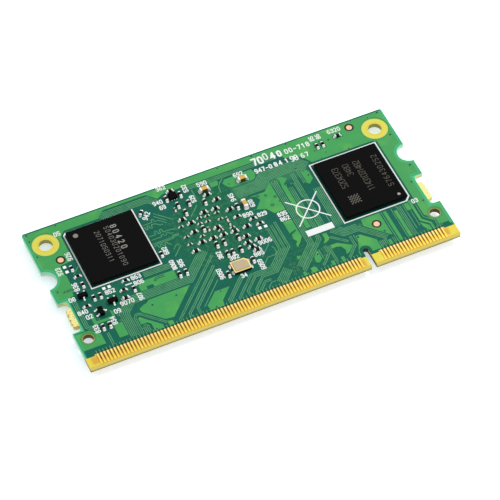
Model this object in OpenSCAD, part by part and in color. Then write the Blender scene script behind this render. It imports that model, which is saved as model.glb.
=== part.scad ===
// Plug-in compute board with an edge connector of 200 contacts, in millimetres.
// Places on the board are measured from its front left corner: x along the contact edge, y away from it.
// The part's origin is under the middle of the board, on the surface that the lower package rests on.

/* [Board] */
// Width of the board along its contact edge
board_w = 67.6; // [67.5:0.05:67.7]
// Depth of the board from its contact edge to its far edge
board_d = 31; // [31:0.1:31.6]
// Thickness of the board over both sheets of solder mask
board_t = 1; // [0.9:0.05:1.1]
// Thickness of one sheet of solder mask
mask_t = 0.03; // [0.02:0.005:0.05]
// Height of the copper pattern above the mask around it
copper_t = 0.03; // [0.02:0.005:0.05]
// Height of the printed ink above the mask
ink_t = 0.045; // [0.04:0.005:0.06]
// Radius of the board's corners
corner_r = 0.3; // [0.1:0.05:0.5]
// Width of the bevel along both sides of the contact edge
bevel = 0.2; // [0.1:0.05:0.3]

/* [Notches and holes] */
// Radius of the two latch notches
latch_r = 2; // [1.8:0.1:2.2]
// Distance from the contact edge to the middle of the latch notches
latch_y = 20.05; // [19.8:0.05:20.3]
// Diameter of the two locating holes
locating_d = 1.8; // [1.7:0.05:1.9]
// Distance of the locating holes from the side edges
locating_x = 2; // [1.9:0.05:2.1]
// Distance of the locating holes from the contact edge
locating_y = 6; // [5.9:0.05:6.1]
// Diameter of the two corner holes
corner_d = 2.4; // [2.2:0.1:2.6]
// Distance of the corner holes from the side edges
corner_x = 2.95; // [2.9:0.05:3.1]
// Distance of the corner holes from the contact edge
corner_y = 27.25; // [27.1:0.05:27.4]
// Diameter of the bare laminate round the corner holes
corner_bare_d = 4.7; // [4.4:0.1:5]
// Diameter of the bare laminate round the locating holes
locating_bare_d = 2.2; // [2.1:0.05:2.4]
// Width of the slot that keys the contact edge
key_w = 1; // [0.9:0.05:1.1]
// Distance of the key slot from the left edge
key_x = 51.35; // [51.3:0.05:51.4]
// Depth of the key slot from the contact edge
key_l = 4; // [3.8:0.1:4.2]
// Depth of the routed recess in each side edge
recess_depth = 1.75; // [1.6:0.05:1.8]
// Where the side recesses start, from the contact edge
recess_y = 8; // [7.9:0.1:8.2]
// Length of the side recesses
recess_l = 6.7; // [6.5:0.1:6.8]
// Radius of the router that cut the side recesses
router_r = 0.85; // [0.6:0.05:1]
// Diameter of the drilled bites where the board was snapped from its panel
bite_d = 0.6; // [0.5:0.05:0.65]

/* [Edge contacts] */
// Distance between neighbouring contacts
contact_pitch = 0.6; // [0.59:0.005:0.61]
// Width of a contact
contact_w = 0.45; // [0.4:0.01:0.48]
// Length of a contact
contact_l = 2.2; // [2.1:0.05:2.2]
// Distance from the edge to the start of a contact
contact_inset = 0.4; // [0.35:0.05:0.4]
// Thickness of the plated copper of a contact
contact_t = 0.04; // [0.035:0.005:0.05]
// Number of contacts left of the key slot
long_row = 80; // [70:1:80]
// Number of contacts right of the key slot
short_row = 20; // [16:1:20]

/* [Memory package] */
// Width of the memory package
memory_w = 12; // [11.5:0.1:12.2]
// Depth of the memory package
memory_d = 12; // [11.5:0.1:12.2]
// Height of the memory package above the mask
memory_h = 0.8; // [0.7:0.05:1]

/* [Storage package] */
// Width of the storage package
storage_w = 11.5; // [11:0.1:11.8]
// Depth of the storage package
storage_d = 13; // [12.5:0.1:13.2]
// Height of the storage package above the mask
storage_h = 0.75; // [0.7:0.05:1]

/* [Processor package] */
// Width and depth of the processor package on the lower face
processor_w = 14; // [13:0.1:14.2]
// Height of the processor package below the mask
processor_h = 1.15; // [1.1:0.05:1.4]

/* [Package build] */
// Gap under a package, which its solder balls fill
ball_gap = 0.2; // [0.15:0.01:0.25]
// Diameter of a solder ball
ball_d = 0.3; // [0.25:0.01:0.32]
// Thickness of a package's substrate
substrate_t = 0.15; // [0.1:0.01:0.2]
// Width of the bevel round the top of a package
package_bevel = 0.04; // [0.02:0.01:0.06]

/* [Crystal] */
// Length of the crystal's ceramic base
crystal_l = 3.2; // [3:0.1:3.3]
// Width of the crystal's ceramic base
crystal_w = 2.5; // [2.3:0.1:2.5]
// Height of the crystal over its lid
crystal_h = 0.7; // [0.6:0.05:0.8]

/* [Small parts] */
// Length of a tan capacitor
tan_l = 1.6; // [1.5:0.05:1.7]
// Width of a tan capacitor
tan_w = 0.8; // [0.7:0.05:0.9]
// Height of a tan capacitor
tan_h = 0.8; // [0.6:0.05:0.9]
// Length of a small capacitor or resistor
chip_l = 1; // [0.95:0.05:1.05]
// Width of a small capacitor or resistor
chip_w = 0.5; // [0.45:0.05:0.55]
// Height of a small capacitor
capacitor_h = 0.5; // [0.4:0.05:0.55]
// Height of a small resistor
resistor_h = 0.35; // [0.3:0.05:0.4]
// Length of one of the smallest capacitors
tiny_l = 0.6; // [0.55:0.05:0.65]
// Width and height of one of the smallest capacitors
tiny_w = 0.3; // [0.25:0.05:0.35]
// How far the solder reaches past the end of a small part
joint_reach = 0.3; // [0.2:0.05:0.35]
// Length of a power inductor
inductor_l = 2.5; // [2.3:0.1:2.6]
// Width of a power inductor
inductor_w = 2; // [1.8:0.1:2.2]
// Height of a power inductor
inductor_h = 1; // [0.8:0.05:1.1]
// Length of a transistor's body
transistor_l = 1.6; // [1.5:0.05:1.7]
// Width of a transistor's body
transistor_w = 0.85; // [0.8:0.05:0.95]
// Height of a transistor's body
transistor_h = 0.7; // [0.6:0.05:0.8]
// Width and depth of the small regulator
regulator_w = 1.4; // [1.2:0.1:1.5]
// Height of the small regulator
regulator_h = 0.55; // [0.4:0.05:0.7]
// Width and depth of a power converter
converter_w = 3; // [2.8:0.1:3.1]
// Height of a power converter
converter_h = 0.75; // [0.6:0.05:1]

/* [Hidden] */

$fn = 48;

// Heights: the processor package stands on the ground, and the board lies on top of it.
face_down = processor_h;
face_up = processor_h + board_t;
laminate_z = face_down + mask_t;
laminate_t = board_t - 2 * mask_t;

// Sizes of the small two-ended parts, and the share of the length that one terminal takes
size_0603 = [tan_l, tan_w, tan_h];
size_0402 = [chip_l, chip_w, capacitor_h];
size_resistor = [chip_l, chip_w, resistor_h];
size_0201 = [tiny_l, tiny_w, tiny_w];
terminal_share = 0.21;
// How far a ceramic body sits inside its terminals, and the black coat on a resistor
body_inset = 0.02;
overcoat_t = 0.06;
// How far a moulded body stands off the board
stand_off = 0.02;

// Bevels round the tops of moulded parts, of metal ends and of transistors, and of sintered ferrite
mould_bevel = 0.05;
case_bevel = 0.08;
ferrite_bevel = 0.1;

// Bare round marks in their openings in the mask, and bare square pads
fiducial_d = 1.05;
fiducial_room_d = 1.7;
pad_w = 0.55;
pad_t = 0.06;

// Room that the copper leaves round parts, holes, latch notches and the key slot
chip_margin = [0.2, 0.3];
transistor_room = [2.6, 2.9];
inductor_margin = 0.4;
decoupling_room = [10, 9];
hole_margin = 0.4;
latch_margin = 0.25;
key_room_r = 1.05;

// The crystal: heights of its metal ring and lid, how far they stand in, the ring's width, the clipped
// corner that marks one end, the round corners of the base, and the solder joints at its ends
crystal_ring_t = 0.08;
crystal_lid_t = 0.14;
crystal_ring_inset = 0.05;
crystal_lid_inset = 0.3;
crystal_ring_w = 0.45;
crystal_clip = 0.55;
castellation_r = 0.2;
crystal_joint = [0.32, 0.7, 0.12];
crystal_joint_y = 0.72;

// Pads that show at the sides of the regulator and of the converters
regulator_pad = [0.22, 0.1, 0.12];
regulator_pad_pitch = 0.45;
converter_pad = [0.12, 0.26, 0.2];
converter_pad_pitch = 0.5;

// Grids of balls: how many along a side, their pitch, how many outer rows, and which inner ring has balls too
memory_grid = [23, 0.5, 2, -1];
storage_grid = [14, 0.5, 3, 4];
processor_grid = [20, 0.65, 3, 6];
// The round dimple in each package's face: its place from the middle, and its radius
memory_dimple = [-4.7, 4.65, 0.5];
storage_dimple = [4.65, -5.55, 0.3];
processor_dimple = [-5.8, 5.8, 0.5];
dimple_depth = 0.04;

// Edge contacts
mask_edge_y = 2.65;
mask_corner_y = 2.35;
long_row_end = key_x - 1.8;
short_row_start = key_x + 2.4;
bottom_shift = contact_pitch / 2;
first_contact = long_row_end - (long_row - 1) * contact_pitch;
last_contact = short_row_start + (short_row - 1) * contact_pitch;
pad_zone_margin = 0.45;
contacts_at = concat(
    [for (i = [0:long_row - 1]) first_contact + i * contact_pitch],
    [for (i = [0:short_row - 1]) short_row_start + i * contact_pitch]
);

// Middles of the packages and the crystal
memory_at = [12.8, 21.75];
storage_at = [57, 17.3];
processor_at = [31, 19.5];
crystal_at = [30.9, 9.15];
regulator_at = [26.6, 27.9];

// Middles of the small parts on the upper face: those along x, those along y, and those at an angle
tan_along_x = [[32.05, 26.9], [38.95, 26.35]];
tan_along_y = [[37, 21.1]];
capacitors_along_x = [
    [32.1, 25.8], [33.1, 24.15], [26, 22.5], [30, 22.45], [32.1, 22.4], [27.1, 21.2], [34.3, 21.2],
    [26.8, 19.2], [30.75, 18.45], [27.1, 16.6], [29.15, 16.6], [31.05, 16.6], [33.1, 16.5],
    [35.4, 16.6], [25.4, 15.3], [34.4, 14.65], [36.05, 13.3], [34.05, 13.3], [34.35, 12.2],
    [34.9, 11.3], [10.85, 11.15], [58, 28.4], [26.6, 29.15],
];
capacitors_along_y = [
    [28.5, 25.45], [31.1, 24.5], [27.2, 23.75], [35.7, 21.25], [28.5, 19.2], [29.15, 15.1],
    [30.5, 15.1], [33.1, 15.1], [30, 12.55], [30.95, 12.55], [32.45, 12.55], [28.35, 8.5],
    [33.35, 9.6], [5.1, 7.1], [6.3, 7.1], [20.95, 11.9], [22.15, 11.9], [25.35, 27.85],
    [27.9, 27.8], [26.6, 25.75],
];
capacitors_angled = [[20.2, 26.75, 50]];
resistors_along_x = [
    [4.3, 12.2], [12.2, 14.5], [11.15, 12.8], [5.3, 18.65], [34.8, 19.25], [37.05, 17.7], [37.7, 16.25],
];
resistors_along_y = [
    [6.05, 13.4], [7.2, 13.4], [12.85, 12.35], [5.4, 16.7], [5, 20.7], [19.85, 17.15],
    [53.8, 27.8], [54.85, 27.8],
];
tiny_along_x = [
    [28.8, 21.7], [30.2, 21.55], [32, 21.55], [28.4, 20.5], [29.85, 20.4], [32, 20], [31.1, 17.75],
    [33.1, 17.45], [25.2, 21.2], [25.2, 18.8], [25.1, 17.1], [27.7, 17.85],
];
tiny_along_y = [[29.3, 18.85], [33, 19.55], [33, 18.45], [25.8, 25.1]];
bare_pads = [[8.3, 14.55], [9.25, 14.55], [37.25, 15.4], [38.3, 15.35], [4.05, 21.45], [4.05, 20.35]];
transistors = [[4.5, 14.5, 0], [8.65, 11.45, 0], [6, 10.2, 90]];
fiducials_top = [[4.05, 23.2], [60.7, 29.35], [55.55, 7.9]];

// Middles of the parts on the lower face, seen through the board from above
converters_at = [[43.5, 21.5], [43.5, 13]];
inductors_at = [[48, 22.9], [48, 20.1], [48, 14.4], [48, 11.6]];
tan_below_x = concat(
    [for (p = inductors_at) p + [3.5, 0]],
    [for (p = converters_at, side = [-1, 1]) p + [0, 2.6 * side]]
);
ring_step = 2.4;
ring_offset = processor_w / 2 + 1.6;
capacitors_below_x = concat(
    [for (i = [-2:2], side = [-1, 1]) processor_at + [i * ring_step, side * ring_offset]],
    [for (x = [55.8, 58.3, 60.8], y = [13, 21]) [x, y]]
);
capacitors_below_y = concat(
    [for (i = [-2:2], side = [-1, 1]) processor_at + [side * ring_offset, i * ring_step]],
    [for (x = [8.8, 11.4, 14, 16.6], y = [19, 24]) [x, y]]
);
fiducials_bottom = [[8.5, 29.2], [60.7, 29.2], [55.55, 7.9]];

// Copper fields on the upper face, as outlines on the board
far_strip = [
    [0.3, 30.7], [67.3, 30.7], [67.3, 24.9], [51.5, 24.9], [50.6, 26.4],
    [49.6, 27.3], [47.6, 27.7], [46.9, 29.2], [25.2, 29.2], [24.1, 28.6], [22.5, 30.2], [14.6, 30.2],
    [13.2, 28.8], [6.9, 28.8], [6, 27.9], [6, 22.5], [0.3, 22.5],
];
left_field = [
    [0.3, 22.8], [6, 22.8], [6, 22.3], [3.5, 22], [3.5, 19.9], [3.65, 19.7], [3.65, 15.8], [3.2, 15.3],
    [2.3, 15], [0.3, 15],
];
left_front_field = [[0.3, 3.9], [4.3, 3.9], [4.3, 6], [3, 7.5], [0.3, 7.5]];
left_patch = [[4, 8.15], [7.8, 8.15], [7.8, 9.6], [7.4, 10], [7.4, 8.7], [4.6, 8.7], [4.6, 10.6], [4, 10]];
right_field = [
    [63.7, 25], [67.3, 25], [67.3, 15], [65.6, 15], [65.6, 7.7], [67.3, 7.7], [67.3, 2.9], [66.9, 2.9],
    [66.9, 3.4], [65.1, 3.4], [65.1, 4.9], [63.7, 6.3],
];
front_field = [
    [12, 8.1], [12.9, 8.6], [13.6, 8.8], [14.1, 9.25], [21.6, 9.25], [16.6, 4.2], [15.1, 4.4], [12.1, 7.4],
];
front_wedge = [
    [11, 6.3], [11.3, 6.6], [14.3, 3.6], [14.3, 2.9], [12.6, 2.9], [12.6, 4.5], [12.1, 5], [11, 5],
];
front_tab = [[15.2, 2.9], [16.1, 2.9], [16.1, 3.7], [15.2, 3.9]];
slanted_field = [[22.5, 4], [24.8, 6.2], [27.5, 6.2], [25.3, 4], [25.1, 2.9], [22.7, 2.9]];
middle_strip = [
    [13.7, 11.3], [14.9, 11.3], [14.9, 12], [16.1, 12], [16.1, 11.3], [20.4, 11.3], [20.4, 13.3],
    [15.1, 13.3], [13.7, 12.6],
];
small_field = [[6.8, 4], [8.6, 4], [8.6, 6.9], [6.8, 6.9]];
capacitor_field = [[33.4, 27], [34.9, 27], [34.9, 28.1], [33.4, 28.1]];
tan_field = [
    [35.5, 27], [36.1, 27.7], [41.2, 27.9], [41.6, 26.9], [41.1, 25.9], [40.5, 25.6], [36.6, 25.6],
    [36, 26],
];
centre_field = [
    [38.3, 22.3], [41.3, 22.3], [42.9, 23.9], [42.9, 17.3], [40.9, 17.3], [40, 18.7], [38.4, 19.3],
    [39.9, 21], [39.4, 22],
];
wavy_field = [
    [41.3, 14.9], [42.9, 14.9], [42.9, 10.8], [42.2, 9.8], [41.3, 8.9], [41.3, 9.6], [41.8, 10.2],
    [41.4, 10.8], [41.5, 11.8], [42.6, 12.3], [42.6, 12.6], [41.3, 12.2],
];
key_field = [
    [50.9, 7], [52, 7], [54.1, 4.9], [54.1, 2.9], [50.1, 2.9], [50.1, 3.6], [51, 5.6],
];
mark_field = [[53.5, 9.9], [57, 9.9], [57, 4.7], [56.7, 4.9], [53.3, 8.4]];
left_strip = [
    [44.35, 12], [45.2, 12], [45.2, 22], [44.9, 22.5], [45.2, 22.6], [46, 23.4], [45.2, 24.2],
    [44.3, 24.2], [44.6, 23.4], [44.4, 22],
];
middle_tab = [[46.35, 11.6], [46.95, 11.6], [46.95, 13.4], [46.35, 13.4]];
right_strip = [[48.6, 24.3], [49.4, 24.3], [50.1, 23.3], [50.1, 21.6], [49.1, 20.7], [48.6, 21.2]];
lower_patch = [[46.2, 9.8], [47, 9.8], [47, 8.4], [46.2, 7.9], [45.6, 7.8], [46.2, 8.6]];
comb_patch = [[44, 6.9], [44, 5], [43.2, 4.4], [42.7, 4.7], [42.9, 5.9], [43.5, 6.7]];
step_patch = [
    [46.4, 7], [47.7, 7], [49.9, 5.5], [49.4, 4.6], [48.1, 4.1], [48.4, 5], [48, 6], [47.2, 6.3],
    [46.4, 6.2],
];
pad_patch = [[40.15, 6.6], [40.3, 7.25], [41, 7.1], [40.9, 6.7], [40.4, 6.45]];
small_patches = [
    [[41.3, 2.9], [41.3, 3.9], [42, 4.1], [42.4, 3.6], [42.2, 2.9]],
    [[45, 2.9], [45.6, 2.9], [45.6, 3.9], [45, 3.9]],
    [[46.9, 2.9], [47.5, 2.9], [47.5, 4], [46.9, 4]],
    [[39.7, 2.9], [40.4, 2.9], [40.3, 3.8], [39.8, 3.7]],
    [[55.7, 2.9], [56.3, 2.9], [56.3, 4], [55.7, 4]],
    [[61.6, 8.3], [62.4, 8.3], [62.4, 9.9], [61.6, 9.9]],
    [[62.3, 5.2], [63.6, 3.9], [63.6, 2.9], [63.1, 2.9], [62.5, 4]],
];
rail_a = [[57.6, 3.1], [58.2, 3.1], [58.2, 9.8], [57.6, 9.8]];
rail_b = [[59.4, 3.1], [60, 3.1], [60, 9.2], [59.4, 9.2]];
rail_c = [
    [62.5, 10.2], [62.95, 10.2], [62.95, 5.7], [64.2, 4.4], [64.2, 2.9], [63.8, 2.9], [63.8, 4.2],
    [62.5, 5.5],
];
fields_top = concat(
    [
        far_strip, left_field, left_front_field, left_patch, right_field, front_field, front_wedge,
        front_tab, slanted_field, middle_strip, small_field, capacitor_field, tan_field, centre_field,
        wavy_field, key_field, mark_field, left_strip, middle_tab, right_strip, lower_patch,
        comb_patch, step_patch, pad_patch, rail_a, rail_b, rail_c,
    ],
    small_patches
);
// Round lands in the copper of the upper face, where a trace goes down into the board
land_d = 0.45;
lands_top = [
    [38.5, 3.9], [38.65, 4.5], [39.3, 4.55], [38.75, 5.3], [39.4, 5.2], [38.55, 6.05], [39.25, 6],
    [48.3, 24.75], [44.9, 6.2], [44.9, 6.9], [37.3, 8.1], [36.5, 7.9], [23.6, 22.6], [24.3, 19.2],
];

// Copper fields on the lower face
fields_bottom = [
    [[0.3, 30.7], [67.3, 30.7], [67.3, 15], [65.6, 15], [65.6, 7.7], [63.5, 7.7], [63.5, 21.5],
        [58.5, 26.5], [42, 26.5], [39, 29], [21, 29], [18, 26.2], [5.5, 26.2], [5.5, 22.3], [3.6, 22],
        [3.6, 18], [5.2, 17.7], [7.2, 15.7], [7.2, 9], [5, 6.8], [3.4, 7.8], [2.4, 15], [0.3, 15]],
    [[46, 17.4], [54.5, 17.4], [54.5, 18.4], [46, 18.4]],
    [[50, 9.5], [62, 9.5], [62, 6.2], [57.5, 6.2], [56, 7.6], [53, 7.6], [51.6, 6.2], [50, 7.8]],
    [[22.2, 2.9], [26.4, 2.9], [26.4, 5.6], [24.9, 5.6]],
    [[36.6, 2.9], [43.4, 2.9], [39.4, 6.9], [36.6, 6.9]],
    [[10, 11.2], [17.2, 11.2], [17.2, 13], [15.6, 14.6], [10, 14.6]],
];

// Signal traces on the upper face: the middle of each bundle as a route of straight stretches, and its count
trace_w = 0.15;
trace_pitch = 0.3;
bundles_top = [
    [6, [[9.35, 3.3], [9.35, 8.35], [11.4, 10.4], [22, 10.4], [26.6, 15]]],
    [2, [[10.6, 3.2], [10.6, 6.7], [11, 7.2], [11.6, 7.2], [15.1, 3.7]]],
    [4, [[11.2, 4.6], [11.6, 4.2], [11.6, 3.2]]],
    [2, [[17.3, 3], [17.3, 3.3], [27.5, 13.5]]],
    [2, [[19.2, 3], [19.2, 3.7], [26.9, 11.4]]],
    [2, [[20.9, 3], [20.9, 4.3], [27, 10.4]]],
    [1, [[22, 4], [26.3, 8.3]]],
    [3, [[26.2, 3.25], [30.1, 7.15]]],
    [2, [[28, 3.2], [31.7, 6.9], [35.5, 6.9], [38.4, 9.8], [38.4, 15]]],
    [2, [[29.9, 3], [29.9, 4], [32.2, 6.3], [35.75, 6.3], [39.2, 9.75], [39.2, 15.2]]],
    [2, [[31.3, 3], [31.3, 3.7], [33.3, 5.7], [36, 5.7], [40, 9.7], [40, 15.6]]],
    [2, [[31.9, 3.2], [33.3, 4.6], [34.4, 4.6]]],
    [1, [[33.3, 3.1], [34.2, 4], [35, 4]]],
    [6, [[35.7, 3.3], [37.9, 5.5]]],
    [1, [[34.8, 8.05], [35.85, 9.1], [37.2, 9.1], [37.65, 9.55], [37.65, 10.5], [37.4, 10.9]]],
    [1, [[35, 9.5], [37.4, 11.9]]],
    [4, [[39.9, 5], [43.65, 8.75], [43.65, 23.8]]],
    [3, [[40.2, 3.95], [45.3, 9.05], [45.3, 10]]],
    [2, [[43.6, 3.6], [45.5, 5.5], [45.5, 7.3]]],
    [1, [[44.25, 4.9], [44.25, 7]]],
    [2, [[46.05, 3.3], [46.05, 7]]],
    [2, [[47.1, 8.7], [49.6, 6.5]]],
    [2, [[48.3, 3.3], [50.3, 5.3], [50.3, 7.4]]],
    [1, [[50.9, 6], [50.9, 7.4]]],
    [3, [[45.75, 11.7], [45.75, 21.4]]],
    [1, [[46.65, 18.4], [46.65, 22]]],
    [3, [[47.2, 11.7], [47.2, 24.1]]],
    [1, [[48.6, 11.7], [48.6, 13.6]]],
    [2, [[48.35, 21.2], [48.35, 24.3]]],
    [5, [[49.75, 10.2], [49.75, 19.4]]],
    [4, [[47.9, 10], [49.6, 8.3], [52.3, 8.3], [56, 4.6]]],
    [2, [[49.2, 10], [50, 9.2], [52.4, 9.2]]],
    [5, [[54.9, 3.2], [54.9, 4.4]]],
    [2, [[56.8, 3.2], [56.8, 4.2]]],
    [1, [[57.3, 3.1], [57.3, 9.9]]],
    [1, [[59.15, 3.1], [59.15, 9.8]]],
    [3, [[60.55, 3.1], [60.55, 9.8]]],
    [1, [[61.35, 4.2], [61.35, 9.8]]],
    [1, [[62.05, 4.5], [62.05, 8.1]]],
    [1, [[63.4, 10.2], [63.4, 6], [64.85, 4.55], [64.85, 3]]],
    [8, [[36.6, 24], [41.2, 24], [42.7, 25.5], [49.1, 25.5], [50.2, 24.4]]],
    [3, [[29.8, 28.6], [46.3, 28.6]]],
    [1, [[30.1, 26], [30.1, 28]]],
    [1, [[35.9, 28.05], [35.15, 27.4], [34.6, 26.6], [34.45, 25.3]]],
    [1, [[27.7, 22.6], [29.6, 24.5]]],
    [5, [[13.85, 28.3], [14.7, 29.15], [22.3, 29.15], [23.5, 27.95]]],
    [4, [[15.4, 14.4], [20.2, 14.4]]],
    [1, [[16.6, 12.4], [17.1, 12.9], [18.5, 12.9]]],
    [3, [[2.7, 14.8], [2.7, 8.3], [3.8, 7.2]]],
    [2, [[5.35, 3.2], [5.35, 5.8]]],
    [1, [[1.8, 16.55], [3.7, 16.55]]],
    [1, [[4.9, 19.4], [6.2, 20.7]]],
    [2, [[19.45, 19.65], [23, 19.65], [23.35, 20], [24.3, 20]]],
    [1, [[22.2, 17.3], [22.9, 18], [23.5, 18]]],
    [1, [[21.8, 15.8], [23.5, 17.5]]],
    [1, [[22.1, 25.9], [24.6, 23.4], [24.9, 23.4]]],
    [1, [[21.9, 25.3], [23.6, 23.6]]],
];

// Traces that wind up and down to gain length, from the memory to the processor: the way in, the middle
// of the first run, the step between runs, the reach up (or down, where negative), the runs, the way out
winding_cut = 0.08;
windings = [
    [[[19.42, 24.2], [21.12, 24.2]], [21.2, 24.5], 0.4, 0.3, 1,
        [[21.6, 24.28], [21.68, 24.2], [22.3, 24.2], [23.4, 23.1]]],
    [[[19.42, 23.76], [19.52, 23.76]], [19.6, 23.43], 0.4, -0.33, 3,
        [[20.8, 23.68], [20.88, 23.76], [21.5, 23.76], [22.2, 23.1], [22.7, 23.1]]],
    [[[19.5, 21.5], [20.62, 21.5]], [20.7, 21.85], 0.45, 0.35, 3,
        [[22.05, 21.58], [22.13, 21.5], [23.4, 21.5], [24.3, 21.2]]],
    [[[19.6, 20.65], [21.37, 20.65]], [21.45, 20.85], 0.45, 0.2, 3, [[23.15, 20.65], [23.6, 20.65]]],
    [[[19.42, 19.2], [20.02, 19.2]], [20.1, 18.97], 0.42, -0.23, 4, [[21.78, 18.9], [22.3, 18.4]]],
];

// Short traces that leave the contacts
stub_l = 0.6;

// Signal traces on the lower face
bundles_bottom = [
    [6, [[9, 3.2], [15.2, 9.4], [25, 9.4]]],
    [5, [[17, 3.2], [20.6, 6.8], [27, 6.8]]],
    [5, [[29, 3.2], [29, 9.4]]],
    [5, [[34, 3.2], [34, 9.4]]],
    [6, [[46.5, 3.2], [41, 8.7], [36.8, 8.7]]],
    [4, [[58.6, 3.4], [58.6, 5.6]]],
    [6, [[18.5, 17], [21, 17]]],
    [6, [[18.5, 21.8], [21, 21.8]]],
    [4, [[42, 28], [58, 28]]],
    [4, [[60.4, 3.3], [60.4, 5.6]]],
    [3, [[62.6, 3.3], [62.6, 6.2]]],
    [4, [[18.6, 11], [18.6, 14], [20.4, 15.8]]],
    [4, [[53.6, 11], [53.6, 16.6]]],
    [3, [[53.6, 19.2], [53.6, 24.8]]],
    [4, [[56.4, 15.6], [62.6, 15.6]]],
    [4, [[56.4, 18.4], [62.6, 18.4]]],
    [3, [[8, 12], [8, 16]]],
    [2, [[6, 17.6], [7, 18.6], [7, 25.4]]],
    [3, [[23, 29.9], [37, 29.9]]],
    [2, [[40.2, 3.3], [45.4, 3.3]]],
];

// Printed ink
line_w = 0.22;
memory_frame = [6.46, 15.33, 19.14, 28.2];
memory_frame_cut = 0.5;
storage_frame = [50.72, 10.3, 63.25, 24.37];
processor_frame = [23.3, 11.8, 38.7, 27.2];
frame_cut = 0.9;
label_bar = [43.9, 10.2, 48.85, 11.5];
target_at = [46.4, 15.75];
target_r = 2;
target_reach = 4.2;
short_line = [11.8, 13.55, 1.2];
inductor_line = [1, 1.25];

// Colours
laminate_yellow = [0.88, 0.84, 0.4];
mask_green = [0.08, 0.47, 0.37];
field_green = [0.32, 0.67, 0.39];
trace_green = [0.3, 0.6, 0.42];
gold = [0.94, 0.72, 0.26];
copper = [0.98, 0.66, 0.5];
ink_white = [0.96, 0.96, 0.94];
mould_black = [0.08, 0.08, 0.09];
substrate_green = [0.12, 0.25, 0.14];
solder = [0.82, 0.82, 0.8];
ceramic_dark = [0.22, 0.17, 0.13];
ceramic_tan = [0.78, 0.63, 0.28];
alumina = [0.9, 0.9, 0.88];
ferrite = [0.28, 0.28, 0.29];
lid_grey = [0.8, 0.73, 0.62];

// Places the children on the upper face, in board places
module on_top() translate([-board_w / 2, -board_d / 2, face_up]) children();

// Places the children under the lower face, growing downwards, in board places
module below() translate([-board_w / 2, -board_d / 2, face_down]) mirror([0, 0, 1]) children();

// Repeats the children at each place of a list, turned by one angle
module along(places, angle) {
    for (p = places) {
        translate([p[0], p[1], 0]) rotate(angle) children();
    }
}

// Repeats the children at each place of a list whose third value is the angle
module angled(places) {
    for (p = places) {
        translate([p[0], p[1], 0]) rotate(p[2]) children();
    }
}

// Repeats the children on the left and, mirrored, on the right side of the board
module both_sides() {
    children();
    translate([board_w, 0, 0]) mirror([1, 0, 0]) children();
}

// A box that stands on the ground, centred on its place
module block(size) translate([-size[0] / 2, -size[1] / 2, 0]) cube(size);

// A box as above with a bevel round its upper edge
module bevelled_block(size, cut) {
    w = size[0] / 2;
    d = size[1] / 2;
    h = size[2];
    intersection() {
        rotate([90, 0, 0])
            linear_extrude(size[1], center = true)
                polygon([[-w, 0], [w, 0], [w, h - cut], [w - cut, h], [cut - w, h], [-w, h - cut]]);
        rotate([90, 0, 90])
            linear_extrude(size[0], center = true)
                polygon([[-d, 0], [d, 0], [d, h - cut], [d - cut, h], [cut - d, h], [-d, h - cut]]);
    }
}

// Flat shapes of the board

module rounded_rectangle(w, d, r) {
    translate([r, 0]) square([w - 2 * r, d]);
    translate([0, r]) square([w, d - 2 * r]);
    for (x = [r, w - r], y = [r, d - r]) {
        translate([x, y]) circle(r);
    }
}

module routed_recess() {
    translate([-1, recess_y]) square([1 + recess_depth - router_r, recess_l]);
    translate([0, recess_y + router_r]) square([recess_depth, recess_l - 2 * router_r]);
    for (y = [recess_y + router_r, recess_y + recess_l - router_r]) {
        translate([recess_depth - router_r, y]) circle(router_r);
    }
}

// The stub of laminate left in a recess, with a ragged face and half of each drilled bite
module broken_tab() {
    bite_pitch = 0.95;
    bite_y = recess_y + 1.75;
    difference() {
        polygon([
            [recess_depth + 0.2, 9.1], [0.95, 9.2], [0.68, 9.45], [0.75, 10.2], [0.6, 10.4], [0.72, 11.1],
            [0.62, 11.4], [0.8, 12.1], [0.66, 12.5], [0.9, 13.05], [recess_depth + 0.2, 13.2],
        ]);
        for (i = [0:3]) {
            translate([0.62, bite_y + i * bite_pitch]) circle(d = bite_d);
        }
    }
}

module key_slot() {
    r = key_w / 2;
    translate([key_x - r, -1]) square([key_w, 1 + key_l - r]);
    translate([key_x, key_l - r]) circle(r);
}

// The board seen from above. Only the laminate reaches into the broken tabs.
module board_outline(with_tabs) {
    difference() {
        rounded_rectangle(board_w, board_d, corner_r);
        both_sides() {
            difference() {
                routed_recess();
                if (with_tabs) {
                    broken_tab();
                }
            }
            translate([0, latch_y]) circle(latch_r);
        }
        key_slot();
    }
}

module pad_zone(shift) {
    translate([-1, -1]) square([board_w + 2, 1 + mask_corner_y]);
    translate([first_contact + shift - pad_zone_margin, 0])
        square([long_row_end - first_contact + 2 * pad_zone_margin, mask_edge_y]);
    translate([short_row_start + shift - pad_zone_margin, 0])
        square([last_contact - short_row_start + 2 * pad_zone_margin, mask_edge_y]);
}

module mask_outline(shift, marks) {
    difference() {
        board_outline(false);
        pad_zone(shift);
        both_sides() {
            translate([corner_x, corner_y]) circle(d = corner_bare_d);
            translate([locating_x, locating_y]) circle(d = locating_bare_d);
        }
        along(marks, 0) circle(d = fiducial_room_d);
    }
}

// Ribbons: a route moved sideways by a gap, with mitred corners

function heading(a, b) = (b - a) / norm(b - a);

function left_of(v) = [-v[1], v[0]];

function mitre(route, i) =
    let (
        end = len(route) - 1,
        before = left_of(heading(route[max(i - 1, 0)], route[max(i, 1)])),
        after = left_of(heading(route[min(i, end - 1)], route[min(i + 1, end)]))
    )
    (before + after) / (1 + before * after);

function beside(route, gap) = [for (i = [0:len(route) - 1]) route[i] + gap * mitre(route, i)];

function backwards(list) = [for (i = [len(list) - 1:-1:0]) list[i]];

module ribbon(route, w) {
    polygon(concat(beside(route, w / 2), backwards(beside(route, -w / 2))));
}

module bundle(count, route) {
    for (i = [0:count - 1]) {
        ribbon(beside(route, (i - (count - 1) / 2) * trace_pitch), trace_w);
    }
}

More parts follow.
